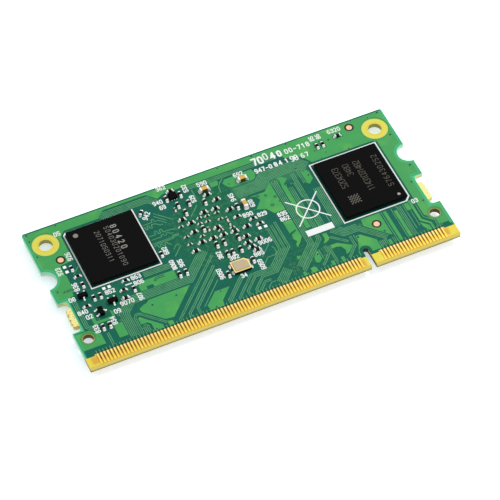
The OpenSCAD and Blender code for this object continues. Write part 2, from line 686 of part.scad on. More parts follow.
// The strip that a bundle keeps clear of other copper
module corridor(count, route) {
    ribbon(route, count * trace_pitch + trace_w);
}

// The runs of a winding trace: up, across, down, across and so on, with every corner cut
function winding(start, step, reach, runs) =
    let (
        top = abs(reach),
        bend = top - winding_cut,
        corners = [[0, -bend], [0, bend], [winding_cut, top], [step - winding_cut, top]]
    )
    [
        for (i = [0:runs - 1], corner = corners)
            start + [i * step + corner[0], corner[1] * (i % 2 == 0 ? 1 : -1) * sign(reach)]
    ];

// Each across run ends in a cut corner too, which leads into the way out
module winding_trace(way_in, start, step, reach, runs, way_out) {
    side = (runs % 2 == 1 ? 1 : -1) * sign(reach);
    last = start + [runs * step, side * (abs(reach) - winding_cut)];
    ribbon(concat(way_in, winding(start, step, reach, runs), [last], way_out), trace_w);
}

module contact_stubs(shift) {
    for (x = contacts_at) {
        translate([x + shift - trace_w / 2, mask_edge_y]) square([trace_w, stub_l]);
    }
}

// Room that the copper leaves round the small parts

function reach_of(size) = min(joint_reach, size[0] * 0.3);

module chip_room(size) {
    square([size[0] + 2 * reach_of(size) + chip_margin[0], size[1] + chip_margin[1]], center = true);
}

module rooms_top() {
    along(tan_along_x, 0) chip_room(size_0603);
    along(tan_along_y, 90) chip_room(size_0603);
    along(concat(capacitors_along_x, resistors_along_x), 0) chip_room(size_0402);
    along(concat(capacitors_along_y, resistors_along_y), 90) chip_room(size_0402);
    along(tiny_along_x, 0) chip_room(size_0201);
    along(tiny_along_y, 90) chip_room(size_0201);
    along(fiducials_top, 0) circle(d = fiducial_room_d);
    along(bare_pads, 0) square(2 * pad_w, center = true);
    for (p = transistors) {
        translate([p[0], p[1]]) square(transistor_room, center = true);
    }
}

module rooms_bottom() {
    along(tan_below_x, 0) chip_room(size_0603);
    along(capacitors_below_x, 0) chip_room(size_0402);
    along(capacitors_below_y, 90) chip_room(size_0402);
    along(fiducials_bottom, 0) circle(d = fiducial_room_d);
    along(inductors_at, 0)
        square([inductor_l + inductor_margin, inductor_w + inductor_margin], center = true);
    translate(memory_at) square(decoupling_room, center = true);
}

module edge_rooms() {
    both_sides() {
        translate([corner_x, corner_y]) circle(d = corner_bare_d + hole_margin);
        translate([locating_x, locating_y]) circle(d = locating_bare_d + hole_margin);
        translate([0, latch_y]) circle(latch_r + latch_margin);
    }
    translate([key_x, key_l - key_w / 2]) circle(key_room_r);
    translate([key_x - key_room_r, 0]) square([2 * key_room_r, key_l - key_w / 2]);
}

// Printed frames and marks

// A thin outline with one corner cut off
module printed_frame(box, cut) {
    x1 = box[0];
    y1 = box[1];
    x2 = box[2];
    y2 = box[3];
    r = line_w / 2;
    difference() {
        polygon([
            [x1 - r, y1 - r], [x2 + r, y1 - r], [x2 + r, y2 + r], [x1 + cut - r, y2 + r],
            [x1 - r, y2 - cut + r],
        ]);
        polygon([
            [x1 + r, y1 + r], [x2 - r, y1 + r], [x2 - r, y2 - r], [x1 + cut + r / 2, y2 - r],
            [x1 + r, y2 - cut - r / 2],
        ]);
    }
}

// A plain aiming mark: a ring and two crossed lines
module target_mark() {
    translate(target_at) {
        difference() {
            circle(target_r + line_w / 2);
            circle(target_r - line_w / 2);
        }
        for (turn = [45, 135]) {
            rotate(turn) square([2 * target_reach, line_w], center = true);
        }
    }
}

module prints_top() {
    printed_frame(memory_frame, memory_frame_cut);
    translate([storage_frame[0] + storage_frame[2], storage_frame[1] + storage_frame[3]])
        rotate(180)
            printed_frame(storage_frame, frame_cut);
    translate([label_bar[0], label_bar[1]])
        square([label_bar[2] - label_bar[0], label_bar[3] - label_bar[1]]);
    target_mark();
    translate([short_line[0], short_line[1]]) square([short_line[2], line_w]);
}

module prints_bottom() {
    printed_frame(processor_frame, frame_cut);
    for (p = inductors_at, side = [-1, 1]) {
        translate(p + [0, side * inductor_line[1]]) square([inductor_line[0], line_w], center = true);
    }
}

// Small two-ended parts, along x

module chip_body(size) {
    l = size[0] * (1 - 2 * terminal_share);
    translate([0, 0, body_inset]) block([l, size[1] - 2 * body_inset, size[2] - 2 * body_inset]);
}

module chip_ends(size) {
    end = size[0] * terminal_share;
    for (side = [-1, 1]) {
        translate([side * (size[0] - end) / 2, 0, 0]) block([end, size[1], size[2]]);
    }
}

// The two solder joints of a small part, each a fillet that runs up its end face
module chip_joints(size) {
    l = size[0] / 2;
    h = min(size[2], 0.55);
    reach = reach_of(size);
    for (turn = [0, 180]) {
        rotate(turn)
            translate([l, 0, 0])
                rotate([90, 0, 0])
                    linear_extrude(size[1] * 1.15, center = true)
                        polygon([
                            [0, 0], [reach, 0], [reach, h * 0.12], [reach * 0.6, h * 0.25],
                            [reach * 0.3, h * 0.48], [0, h * 0.8],
                        ]);
    }
}

// The balls under a package, one of the grids above
module ball_grid(grid) {
    middle = (grid[0] - 1) / 2;
    for (i = [0:grid[0] - 1], j = [0:grid[0] - 1]) {
        ring = middle - max(abs(i - middle), abs(j - middle));
        if (ring < grid[2] || ring == grid[3]) {
            translate([(i - middle) * grid[1], (j - middle) * grid[1], 0]) cylinder(d = ball_d, h = ball_gap);
        }
    }
}

module mould_cap(w, d, h, dimple) {
    z = ball_gap + substrate_t;
    difference() {
        translate([0, 0, z]) bevelled_block([w, d, h - z], package_bevel);
        translate([dimple[0], dimple[1], h - dimple_depth]) cylinder(r = dimple[2], h = 1);
    }
}

module substrate(w, d) translate([0, 0, ball_gap]) block([w, d, substrate_t]);

// Sub-parts: the board

// The wedge that bevels one side of the contact edge
module edge_wedge() {
    translate([-1, 0, 0])
        rotate([90, 0, 90])
            linear_extrude(board_w + 2)
                polygon([[-1, -1], [bevel + 1, -1], [-1, bevel + 1]]);
}

module circuit_board() {
    color(laminate_yellow)
        translate([-board_w / 2, -board_d / 2, laminate_z])
            difference() {
                linear_extrude(laminate_t) board_outline(true);
                edge_wedge();
                translate([0, 0, laminate_t]) mirror([0, 0, 1]) edge_wedge();
                both_sides() {
                    translate([corner_x, corner_y, -1]) cylinder(d = corner_d, h = laminate_t + 2);
                    translate([locating_x, locating_y, -1]) cylinder(d = locating_d, h = laminate_t + 2);
                }
            }
}

module solder_mask_top() {
    color(mask_green)
        on_top()
            translate([0, 0, -mask_t])
                linear_extrude(mask_t) mask_outline(0, fiducials_top);
}

module solder_mask_bottom() {
    color(mask_green)
        below()
            translate([0, 0, -mask_t])
                linear_extrude(mask_t) mask_outline(bottom_shift, fiducials_bottom);
}

module contact_rows(shift) {
    for (x = contacts_at) {
        translate([x + shift - contact_w / 2, contact_inset, -mask_t])
            cube([contact_w, contact_l, contact_t]);
    }
}

module edge_contacts_top() color(gold) on_top() contact_rows(0);

module edge_contacts_bottom() color(gold) below() contact_rows(bottom_shift);

// Copper fields with the strips cut out that the bundles run in
module field_shapes(fields, bundles) {
    difference() {
        for (field = fields) {
            polygon(field);
        }
        for (b = bundles) {
            corridor(b[0], b[1]);
        }
        edge_rooms();
    }
}

// Bundles, and the contacts' stubs as far as the fields leave them room
module trace_shapes(fields, bundles, shift) {
    for (b = bundles) {
        bundle(b[0], b[1]);
    }
    difference() {
        contact_stubs(shift);
        for (field = fields) {
            polygon(field);
        }
        edge_rooms();
    }
}

module copper_fields_top() {
    color(field_green)
        on_top()
            linear_extrude(copper_t)
                difference() {
                    union() {
                        field_shapes(fields_top, bundles_top);
                        along(lands_top, 0) circle(d = land_d);
                    }
                    rooms_top();
                    prints_top();
                }
}

module copper_fields_bottom() {
    color(field_green)
        below()
            linear_extrude(copper_t)
                difference() {
                    field_shapes(fields_bottom, bundles_bottom);
                    rooms_bottom();
                    prints_bottom();
                }
}

module signal_traces_top() {
    color(trace_green)
        on_top()
            linear_extrude(copper_t)
                difference() {
                    union() {
                        trace_shapes(fields_top, bundles_top, 0);
                        for (w = windings) {
                            winding_trace(w[0], w[1], w[2], w[3], w[4], w[5]);
                        }
                    }
                    rooms_top();
                    prints_top();
                }
}

module signal_traces_bottom() {
    color(trace_green)
        below()
            linear_extrude(copper_t)
                difference() {
                    trace_shapes(fields_bottom, bundles_bottom, bottom_shift);
                    rooms_bottom();
                    prints_bottom();
                }
}

// A round mark of bare copper, which lies on the laminate in its opening in the mask
module fiducial_disc() translate([0, 0, -mask_t]) cylinder(d = fiducial_d, h = contact_t);

module fiducial_marks_top() color(copper) on_top() along(fiducials_top, 0) fiducial_disc();

module fiducial_marks_bottom() color(copper) below() along(fiducials_bottom, 0) fiducial_disc();

module screen_print_top() color(ink_white) on_top() linear_extrude(ink_t) prints_top();

module screen_print_bottom() color(ink_white) below() linear_extrude(ink_t) prints_bottom();

// Sub-parts: the packages and the crystal

module memory_mould_cap() {
    color(mould_black) on_top() translate(memory_at) mould_cap(memory_w, memory_d, memory_h, memory_dimple);
}

module memory_substrate() color(substrate_green) on_top() translate(memory_at) substrate(memory_w, memory_d);

module memory_solder_balls() color(solder) on_top() translate(memory_at) ball_grid(memory_grid);

module storage_mould_cap() {
    color(mould_black)
        on_top()
            translate(storage_at)
                mould_cap(storage_w, storage_d, storage_h, storage_dimple);
}

module storage_substrate() {
    color(substrate_green) on_top() translate(storage_at) substrate(storage_w, storage_d);
}

module storage_solder_balls() color(solder) on_top() translate(storage_at) ball_grid(storage_grid);

module processor_mould_cap() {
    color(mould_black)
        below()
            translate(processor_at)
                mould_cap(processor_w, processor_w, processor_h, processor_dimple);
}

module processor_substrate() {
    color(substrate_green) below() translate(processor_at) substrate(processor_w, processor_w);
}

module processor_solder_balls() color(solder) below() translate(processor_at) ball_grid(processor_grid);

crystal_base_h = crystal_h - crystal_ring_t - crystal_lid_t;

// A rectangle round the crystal's middle, set in from the base, with the marking corner clipped
module crystal_plate(inset) {
    x = crystal_l / 2 - inset;
    y = crystal_w / 2 - inset;
    polygon([[-x, -y], [x, -y], [x, y - crystal_clip], [x - crystal_clip, y], [-x, y]]);
}

// The ceramic base, with a quarter-round castellation at each corner
module crystal_base() {
    color(ceramic_dark)
        on_top()
            translate(crystal_at)
                difference() {
                    block([crystal_l, crystal_w, crystal_base_h]);
                    for (x = [-1, 1], y = [-1, 1]) {
                        translate([x * crystal_l / 2, y * crystal_w / 2, -1])
                            cylinder(r = castellation_r, h = 2);
                    }
                }
}

module crystal_seal_ring() {
    color(gold)
        on_top()
            translate([crystal_at[0], crystal_at[1], crystal_base_h])
                linear_extrude(crystal_ring_t)
                    difference() {
                        crystal_plate(crystal_ring_inset);
                        crystal_plate(crystal_ring_inset + crystal_ring_w);
                    }
}

module crystal_lid() {
    color(lid_grey)
        on_top()
            translate([crystal_at[0], crystal_at[1], crystal_base_h + crystal_ring_t])
                linear_extrude(crystal_lid_t) crystal_plate(crystal_lid_inset);
}

// The solder joints at the two ends of the crystal
module crystal_joints() {
    for (x = [-1, 1], y = [-1, 1]) {
        translate([x * (crystal_l + crystal_joint[0]) / 2, y * crystal_joint_y, 0]) block(crystal_joint);
    }
}

// Sub-parts: small parts on the upper face

module capacitor_0603_bodies_top() {
    color(ceramic_tan)
        on_top() {
            along(tan_along_x, 0) chip_body(size_0603);
            along(tan_along_y, 90) chip_body(size_0603);
        }
}

module capacitor_0603_terminals_top() {
    color(solder)
        on_top() {
            along(tan_along_x, 0) chip_ends(size_0603);
            along(tan_along_y, 90) chip_ends(size_0603);
        }
}

module capacitor_0402_bodies_top() {
    color(ceramic_dark)
        on_top() {
            along(capacitors_along_x, 0) chip_body(size_0402);
            along(capacitors_along_y, 90) chip_body(size_0402);
            angled(capacitors_angled) chip_body(size_0402);
        }
}

module capacitor_0402_terminals_top() {
    color(solder)
        on_top() {
            along(capacitors_along_x, 0) chip_ends(size_0402);
            along(capacitors_along_y, 90) chip_ends(size_0402);
            angled(capacitors_angled) chip_ends(size_0402);
        }
}

module capacitor_0201_bodies_top() {
    color(ceramic_dark)
        on_top() {
            along(tiny_along_x, 0) chip_body(size_0201);
            along(tiny_along_y, 90) chip_body(size_0201);
        }
}

module capacitor_0201_terminals_top() {
    color(solder)
        on_top() {
            along(tiny_along_x, 0) chip_ends(size_0201);
            along(tiny_along_y, 90) chip_ends(size_0201);
        }
}

// A resistor is a white ceramic block with a black overcoat between its terminals
module resistor_core() chip_body(size_resistor - [0, 0, overcoat_t]);

module resistor_overcoat() {
    translate([0, 0, resistor_h - body_inset - overcoat_t])
        block([chip_l * (1 - 2 * terminal_share), chip_w - 2 * body_inset, overcoat_t]);
}

module resistor_bodies_top() {
    color(alumina)
        on_top() {
            along(resistors_along_x, 0) resistor_core();
            along(resistors_along_y, 90) resistor_core();
        }
}

module resistor_overcoats_top() {
    color(mould_black)
        on_top() {
            along(resistors_along_x, 0) resistor_overcoat();
            along(resistors_along_y, 90) resistor_overcoat();
        }
}

module resistor_terminals_top() {
    color(solder)
        on_top() {
            along(resistors_along_x, 0) chip_ends(size_resistor);
            along(resistors_along_y, 90) chip_ends(size_resistor);
        }
}

module transistor_bodies() {
    color(mould_black)
        on_top()
            angled(transistors)
                translate([0, 0, stand_off])
                    bevelled_block([transistor_l, transistor_w, transistor_h], case_bevel);
}

// A gull-wing lead: out of the body near half its height, down, and flat on its pad
lead_w = 0.28;
lead_t = 0.14;
lead_z = 0.28;
lead_reach = 0.6;
lead_pitch = 1.1;

module gull_wing() {
    d = transistor_w / 2;
    rotate([90, 0, 90])
        linear_extrude(lead_w, center = true)
            polygon([
                [d, lead_z + lead_t], [d + 0.16, lead_z + lead_t], [d + 0.24, lead_z + 0.06],
                [d + 0.28, lead_t], [d + lead_reach, lead_t], [d + lead_reach, 0],
                [d + 0.2, 0], [d + 0.14, lead_z], [d, lead_z],
            ]);
}

module transistor_leads() {
    color(solder)
        on_top()
            angled(transistors) {
                rotate(180) gull_wing();
                for (side = [-1, 1]) {
                    translate([side * lead_pitch / 2, 0, 0]) gull_wing();
                }
            }
}

module regulator_body() {
    color(mould_black)
        on_top()
            translate([regulator_at[0], regulator_at[1], stand_off])
                bevelled_block([regulator_w, regulator_w, regulator_h], mould_bevel);
}

module regulator_pads() {
    color(solder)
        on_top()
            translate(regulator_at)
                for (side = [-1, 1], i = [-1:1]) {
                    translate([i * regulator_pad_pitch, side * (regulator_w + regulator_pad[1]) / 2, 0])
                        block(regulator_pad);
                }
}

module solder_joints_top() {
    color(solder)
        on_top() {
            along(tan_along_x, 0) chip_joints(size_0603);
            along(tan_along_y, 90) chip_joints(size_0603);
            along(capacitors_along_x, 0) chip_joints(size_0402);
            along(capacitors_along_y, 90) chip_joints(size_0402);
            angled(capacitors_angled) chip_joints(size_0402);
            along(resistors_along_x, 0) chip_joints(size_resistor);
            along(resistors_along_y, 90) chip_joints(size_resistor);
            along(tiny_along_x, 0) chip_joints(size_0201);
            along(tiny_along_y, 90) chip_joints(size_0201);
            translate(crystal_at) crystal_joints();
        }
}

module bare_pads_top() color(solder) on_top() along(bare_pads, 0) block([pad_w, pad_w, pad_t]);

// Sub-parts: small parts on the lower face

module capacitor_0603_bodies_bottom() {
    color(ceramic_tan) below() along(tan_below_x, 0) chip_body(size_0603);
}

module capacitor_0603_terminals_bottom() {
    color(solder) below() along(tan_below_x, 0) chip_ends(size_0603);
}

module capacitor_0402_bodies_bottom() {
    color(ceramic_dark)
        below() {
            along(capacitors_below_x, 0) chip_body(size_0402);
            along(capacitors_below_y, 90) chip_body(size_0402);
        }
}

module capacitor_0402_terminals_bottom() {
    color(solder)
        below() {
            along(capacitors_below_x, 0) chip_ends(size_0402);
            along(capacitors_below_y, 90) chip_ends(size_0402);
        }
}

inductor_end = 0.5;

module inductor_bodies() {
    color(ferrite)
        below()
            along(inductors_at, 0)
                translate([0, 0, stand_off])
                    bevelled_block(
                        [inductor_l - 2 * inductor_end, inductor_w, inductor_h - stand_off],
                        ferrite_bevel
                    );
}

module inductor_terminals() {
    color(solder)
        below()
            along(inductors_at, 0)
                for (side = [-1, 1]) {
                    translate([side * (inductor_l - inductor_end) / 2, 0, 0])
                        bevelled_block([inductor_end, inductor_w, inductor_h], case_bevel);
                }
}

module converter_bodies() {
    color(mould_black)
        below()
            along(converters_at, 0)
                translate([0, 0, stand_off])
                    bevelled_block([converter_w, converter_w, converter_h], mould_bevel);
}

module converter_pads() {
    color(solder)
        below()
            along(converters_at, 0)
                for (side = [-1, 1], i = [-2:2]) {
                    translate([side * (converter_w + converter_pad[0]) / 2, i * converter_pad_pitch, 0])
                        block(converter_pad);
                }
}

module solder_joints_bottom() {
    color(solder)
        below() {
            along(tan_below_x, 0) chip_joints(size_0603);
            along(capacitors_below_x, 0) chip_joints(size_0402);
            along(capacitors_below_y, 90) chip_joints(size_0402);
        }
}

circuit_board();
solder_mask_top();
solder_mask_bottom();
edge_contacts_top();
edge_contacts_bottom();
copper_fields_top();
copper_fields_bottom();
signal_traces_top();
signal_traces_bottom();
fiducial_marks_top();
fiducial_marks_bottom();
screen_print_top();
screen_print_bottom();
memory_mould_cap();
memory_substrate();
memory_solder_balls();
storage_mould_cap();
storage_substrate();
storage_solder_balls();
processor_mould_cap();
processor_substrate();
processor_solder_balls();
crystal_base();
crystal_seal_ring();
crystal_lid();
capacitor_0603_bodies_top();
capacitor_0603_terminals_top();
capacitor_0402_bodies_top();
capacitor_0402_terminals_top();
capacitor_0201_bodies_top();
capacitor_0201_terminals_top();
resistor_bodies_top();
resistor_overcoats_top();
resistor_terminals_top();
transistor_bodies();
transistor_leads();
regulator_body();
regulator_pads();
solder_joints_top();
bare_pads_top();
capacitor_0603_bodies_bottom();
capacitor_0603_terminals_bottom();
capacitor_0402_bodies_bottom();
capacitor_0402_terminals_bottom();
inductor_bodies();
inductor_terminals();
converter_bodies();
converter_pads();
solder_joints_bottom();
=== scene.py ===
"""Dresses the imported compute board: finishes, printed numbers, laser marks, vias, solder and a stage."""

import math
import random

import bmesh
import bpy
from mathutils import Matrix, Vector


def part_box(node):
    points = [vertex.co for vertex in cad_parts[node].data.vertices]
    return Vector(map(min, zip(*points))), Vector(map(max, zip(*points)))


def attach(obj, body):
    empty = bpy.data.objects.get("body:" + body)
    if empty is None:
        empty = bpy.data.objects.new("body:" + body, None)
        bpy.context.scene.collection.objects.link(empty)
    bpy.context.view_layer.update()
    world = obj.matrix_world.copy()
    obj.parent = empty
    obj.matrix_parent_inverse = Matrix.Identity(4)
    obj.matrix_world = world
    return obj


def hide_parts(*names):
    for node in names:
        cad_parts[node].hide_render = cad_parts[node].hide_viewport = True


bl_info = {
    "name": "Plug-in compute board",
    "version": (1, 0, 0),
    "blender": (4, 5, 0),
    "location": "View3D > Sidebar > Board",
    "description": "Finishes, prints and solders a plug-in compute board around its packed frame",
    "category": "Object",
}

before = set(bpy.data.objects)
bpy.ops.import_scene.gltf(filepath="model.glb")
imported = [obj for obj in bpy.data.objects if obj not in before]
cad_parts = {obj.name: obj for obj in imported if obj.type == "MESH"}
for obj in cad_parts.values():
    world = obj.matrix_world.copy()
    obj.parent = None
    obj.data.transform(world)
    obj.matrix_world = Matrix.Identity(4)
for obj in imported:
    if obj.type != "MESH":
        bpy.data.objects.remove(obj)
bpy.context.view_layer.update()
MM = 0.001

# The board's box, and the heights of its two masked faces
BOARD_LOW, BOARD_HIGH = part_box("circuit_board")
UPPER_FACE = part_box("solder_mask_top")[1].z
LOWER_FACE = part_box("solder_mask_bottom")[0].z

# Features of the board's outline that its finishes follow, in millimetres on the board
HALF_WIDTH = (BOARD_HIGH.x - BOARD_LOW.x) / 2 / MM
DEPTH = (BOARD_HIGH.y - BOARD_LOW.y) / MM
NOTCH_Y = 20.05
NOTCH_RADIUS = 2.0
RECESS_FRONT = 8.0
RECESS_BACK = 14.7
RECESS_DEPTH = 1.75
KEY_X = 51.35
KEY_LENGTH = 4.0
CORNER_HOLE = (2.95, 27.25)
LOCATING_HOLE = (2.0, 6.0)
# Radii round the holes: what counts as their walls, their bare lands, and the pale rings in the mask
CORNER_WALL = 1.4
CORNER_LAND = 2.5
CORNER_LAND_INNER = 2.05
CORNER_COLLAR = (1.3, 1.6)
CORNER_RING = 2.9
LOCATING_WALL = 1.1
LOCATING_LAND = 1.4
LOCATING_RING = 1.5
UPPER_MARKS = [(4.05, 23.2), (60.7, 29.35), (55.55, 7.9)]
LOWER_MARKS = [(8.5, 29.2), (60.7, 29.2), (55.55, 7.9)]
MARK_OPENING = 0.95
CONTACT_START = 0.4
CONTACTS_END = 2.9
CONTACT_PITCH = 0.6
FIRST_CONTACT = 2.15
LONG_ROW = (1.95, 49.75)
SHORT_ROW = (53.55, 65.35)
# Glass cloth and its plies, and the heights between which a finish turns from the lower face's to the upper's
CLOTH_PITCH = 0.5
CLOTH_UNDER_MASK = 0.42
PLY_PITCH = 0.19
MID_BOARD = (-0.6, -0.4)
# How much further off the far edge is counted, so that its pale rim, a painted glow, is the narrowest
FAR_RIM_SHIFT = 0.3
# Scorched laminate at the ends of the contact rows, each as its left, front, right and far side
ROW_ENDS = [
    (LONG_ROW[0] - 1.2, 0.7, LONG_ROW[0] + 0.1, 2.2), (LONG_ROW[1] - 0.2, 0.5, LONG_ROW[1] + 0.5, 2.0),
    (SHORT_ROW[1] - 0.1, 0.7, SHORT_ROW[1] + 0.7, 2.2),
]
# Where inner planes show through the mask: round patches, each as its middle, radius, softness and strength,
# and a band, as its left, front, right and far side
MOTTLED_PATCHES = [(30, 18.5, 6, 4.5, 1), (33, 25.5, 3.5, 3, 1), (9, 12, 3, 4, 0.5), (42, 8, 4, 4, 0.6)]
PLANE_BAND = (36.3, 22.9, 50, 26.5)

# Numerals as pen strokes on a grid four wide and six high, drawn a little narrower than the grid
NUMERAL_WIDTH = 4
NUMERAL_HEIGHT = 6
NUMERAL_PITCH = 6.45
NARROW = 0.74
NUMERALS = {
    "0": [[(0, 1), (0, 5), (1, 6), (3, 6), (4, 5), (4, 1), (3, 0), (1, 0), (0, 1)]],
    "1": [[(0.8, 4.9), (2.2, 6)], [(2.2, 6), (2.2, 0)]],
    "2": [[(0, 5), (1, 6), (3, 6), (4, 5), (4, 4), (0, 0)], [(0, 0), (4, 0)]],
    "3": [[(0, 5), (1, 6), (3, 6), (4, 5), (4, 4), (3, 3.1), (4, 2.2), (4, 1), (3, 0), (1, 0), (0, 1)],
          [(3, 3.1), (1.6, 3.1)]],
    "4": [[(4, 1.8), (0, 1.8), (3, 6)], [(3, 6), (3, 0)]],
    "5": [[(4, 6), (0, 6), (0, 3.4), (3, 3.4), (4, 2.5), (4, 1), (3, 0), (1, 0), (0, 1)]],
    "6": [[(3.6, 6), (1.4, 6), (0, 4.4), (0, 1), (1, 0), (3, 0), (4, 1), (4, 2.4), (3, 3.3), (0.4, 3.3)]],
    "7": [[(0, 6), (4, 6)], [(4, 6), (1.6, 0)]],
    "8": [[(1, 3.1), (0, 4), (0, 5), (1, 6), (3, 6), (4, 5), (4, 4), (3, 3.1), (1, 3.1)],
          [(3, 3.1), (4, 2.2), (4, 1), (3, 0), (1, 0), (0, 1), (0, 2.2), (1, 3.1)]],
    "9": [[(0.4, 0), (2.6, 0), (4, 1.6), (4, 5), (3, 6), (1, 6), (0, 5), (0, 3.6), (1, 2.7), (3.6, 2.7)]],
    "-": [[(0.4, 2.9), (3.8, 2.9)]],
}

# Printed numbers on the upper face: the digits, their lower left corner on the board and their height
NUMBERS_ALONG = [
    ("362", 24.55, 30.0, 0.95), ("590", 31.3, 28.0, 1.0), ("940", 22.8, 27.28, 0.98),
    ("69", 23.5, 26.0, 0.98), ("890", 35.7, 18.48, 1.0), ("829", 38.0, 17.6, 0.95),
    ("9006", 35.6, 11.98, 1.0), ("885", 33.9, 9.98, 1.0), ("382", 29.8, 10.98, 0.98),
    ("34", 30.05, 6.8, 0.95), ("08", 2.0, 14.05, 0.98), ("09", 7.95, 8.8, 1.0), ("02", 3.25, 9.6, 1.0),
    ("840", 2.3, 10.88, 0.98), ("852", 8.1, 13.08, 0.98), ("9070", 9.5, 9.82, 1.0),
    ("863", 13.2, 14.12, 0.98), ("806", 13.2, 12.86, 0.98), ("05", 4.95, 28.15, 1.0),
    ("03", 63.05, 9.25, 1.0), ("6320", 56.7, 29.4, 1.0), ("692", 37.85, 27.3, 0.98),
    ("835", 41.1, 16.18, 0.95), ("862", 41.1, 15.05, 0.95),
]
NUMBERS_UP = [
    ("532", 29.65, 27.85, 0.95), ("529", 29.95, 25.2, 0.92), ("945", 36.2, 22.6, 1.0),
    ("620", 38.65, 20.1, 0.92), ("382", 29.15, 12.0, 0.95), ("9050", 27.65, 8.0, 0.95),
    ("6059", 34.75, 7.0, 0.95), ("923", 3.35, 20.0, 0.98), ("926", 6.05, 22.35, 1.0),
    ("836", 4.65, 15.85, 1.0), ("833", 4.5, 6.35, 0.98), ("834", 7.7, 6.8, 0.98),
    ("907", 13.65, 9.65, 0.92), ("8060", 21.2, 13.2, 0.9), ("905", 22.55, 13.2, 0.95),
    ("682", 21.25, 16.75, 0.95), ("85", 54.1, 29.15, 0.95), ("86", 55.3, 29.15, 0.95),
]
SLANTED_NUMBER = ("942", 20.6, 24.9, 1.0, 50)
# Rows of plain numbers at the far side: the digits, their corner, height, pen and length
ROWS = [
    ("70", 41.9, 28.2, 1.8, 0.42, 2.2), ("0", 44.2, 28.7, 1.55, 0.28, 1.05),
    ("4", 45.35, 28.3, 1.65, 0.46, 1.15), ("0", 46.65, 28.35, 1.5, 0.42, 1.2),
    ("00-718", 48.1, 28.4, 1.15, 0.25, 4.75), ("947-0", 41.6, 26.55, 1.05, 0.24, 3.3),
    ("84", 45.25, 26.55, 1.1, 0.26, 1.55), ("1", 47.3, 26.55, 1.1, 0.26, 0.6),
    ("98", 48.3, 26.4, 1.3, 0.26, 1.5), ("67", 50.3, 26.4, 1.1, 0.24, 1.5),
]

# Vias, which go through the board: the place of each, and the radius of its dark middle
VIAS = [
    (0.7, 30.45, 0.17), (6.05, 30.5, 0.17), (0.7, 29.0, 0.17), (0.7, 25.4, 0.17), (1.05, 17.05, 0.17),
    (14.3, 8.0, 0.18), (18.7, 8.2, 0.18), (25.75, 5.9, 0.14), (23.8, 3.15, 0.16), (13.05, 3.15, 0.16),
    (61.6, 30.65, 0.14), (66.6, 30.4, 0.2), (66.5, 24.85, 0.2), (66.5, 17.25, 0.2), (65.05, 13.75, 0.17),
    (65.05, 9.2, 0.18), (52.9, 8.9, 0.15), (56.1, 5.95, 0.18), (51.45, 6.65, 0.2), (53.0, 27.0, 0.14),
    (54.7, 25.95, 0.13), (58.6, 25.1, 0.12), (64.6, 30.0, 0.14), (36.1, 30.55, 0.16), (29.6, 30.6, 0.14),
    (42.5, 30.55, 0.2), (49.1, 30.6, 0.2), (43.7, 6.15, 0.18), (44.75, 5.45, 0.16), (49.7, 22.55, 0.18),
    (45.15, 22.15, 0.13), (46.2, 22.1, 0.13), (43.5, 23.65, 0.16), (65.4, 3.3, 0.16), (36.5, 26.45, 0.14),
    (2.05, 16.55, 0.14), (23.4, 17.55, 0.16), (24.3, 26.95, 0.16), (56.2, 28.3, 0.18), (43.9, 9.0, 0.14),
    (53.4, 25.0, 0.14), (60.2, 9.9, 0.12), (5.1, 9.0, 0.14), (8.3, 7.3, 0.13), (8.35, 8.4, 0.13),
]
# Wide vias, which show as soft rounds on the upper face: the place of each, and its radius
WIDE_VIAS = [
    (41.3, 19.1, 0.36), (41.1, 21.5, 0.3), (42.5, 20.6, 0.34), (39.8, 21.9, 0.34), (42.8, 19.4, 0.24),
    (38.3, 21.9, 0.3),
]
# The fan of small vias among the capacitors: its corners, the distance between vias, the share that shows,
# the seed that picks them, and the room that they leave round a part
FAN_LOW = (24.4, 12.2)
FAN_HIGH = (38.2, 25.0)
FAN_PITCH = 0.8
FAN_SHARE = 0.6
FAN_SEED = 11
FAN_ROOM = 0.12
# A small via's dark middle, and its ring as a share of the others'
SMALL_VIA = 0.11
SMALL_RING = 0.6
# How far the vias' feet are sunk, and the height of the wide ones
VIA_SUNK = 0.01
WIDE_VIA_HEIGHT = 0.034
# A via on a round copper dot: its dark middle and its ring, as shares of the dot's radius, and the outer step
# of the ring, as a share of its height
DOT_MIDDLE = 0.7
DOT_RING = 0.32
DOT_STEP = 0.8

# Printed numbers on the lower face, which start from their corner and run the other way
UNDERSIDE_NUMBERS = [
    ("2", 38.6, 28.0, 1.0), ("301", 20.6, 30.0, 0.85), ("302", 20.6, 9.0, 0.85), ("8", 43.5, 24.6, 0.9),
    ("9", 43.5, 9.4, 0.9), ("17", 51.0, 22.5, 0.85), ("18", 51.0, 19.0, 0.85), ("19", 51.0, 13.9, 0.85),
]

# Rows of plain numbers burnt into the packages: the digits, where the row starts, its height, pen and length
MEMORY_ROWS = [
    ("80420", 14.05, 26.05, 1.2, 0.24, 5.6), ("504030201090", 13.0, 26.1, 0.9, 0.075, 9.0),
    ("2071050311", 11.17, 25.8, 0.9, 0.075, 7.1),
]
STORAGE_ROWS = [
    ("5204373", 54.6, 16.7, 1.2, 0.09, 4.7), ("3480", 56.6, 18.8, 1.15, 0.08, 2.7),
    ("11431031482", 58.6, 14.4, 1.2, 0.09, 7.1), ("576430252", 61.9, 13.9, 1.05, 0.1, 7.5),
]
# The packages that carry rows, each with its rows and how far they are turned, and the height of the marks
MARKED_CAPS = {"memory_mould_cap": (MEMORY_ROWS, -90), "storage_mould_cap": (STORAGE_ROWS, 90)}
LASER_HEIGHT = 0.003
# The chequered block on the storage package: its corner, the side of a cell, and how many stand in a row
CHEQUERS = (53.4, 12.9, 0.27, 7)
# Pale bottoms of the moulded dimples, whose paleness is a painted sheen: the package's node, the middle, the
# radius and the depth
DIMPLES = [("memory_mould_cap", 8.1, 26.4, 0.46, 0.04), ("storage_mould_cap", 61.65, 11.75, 0.28, 0.04)]
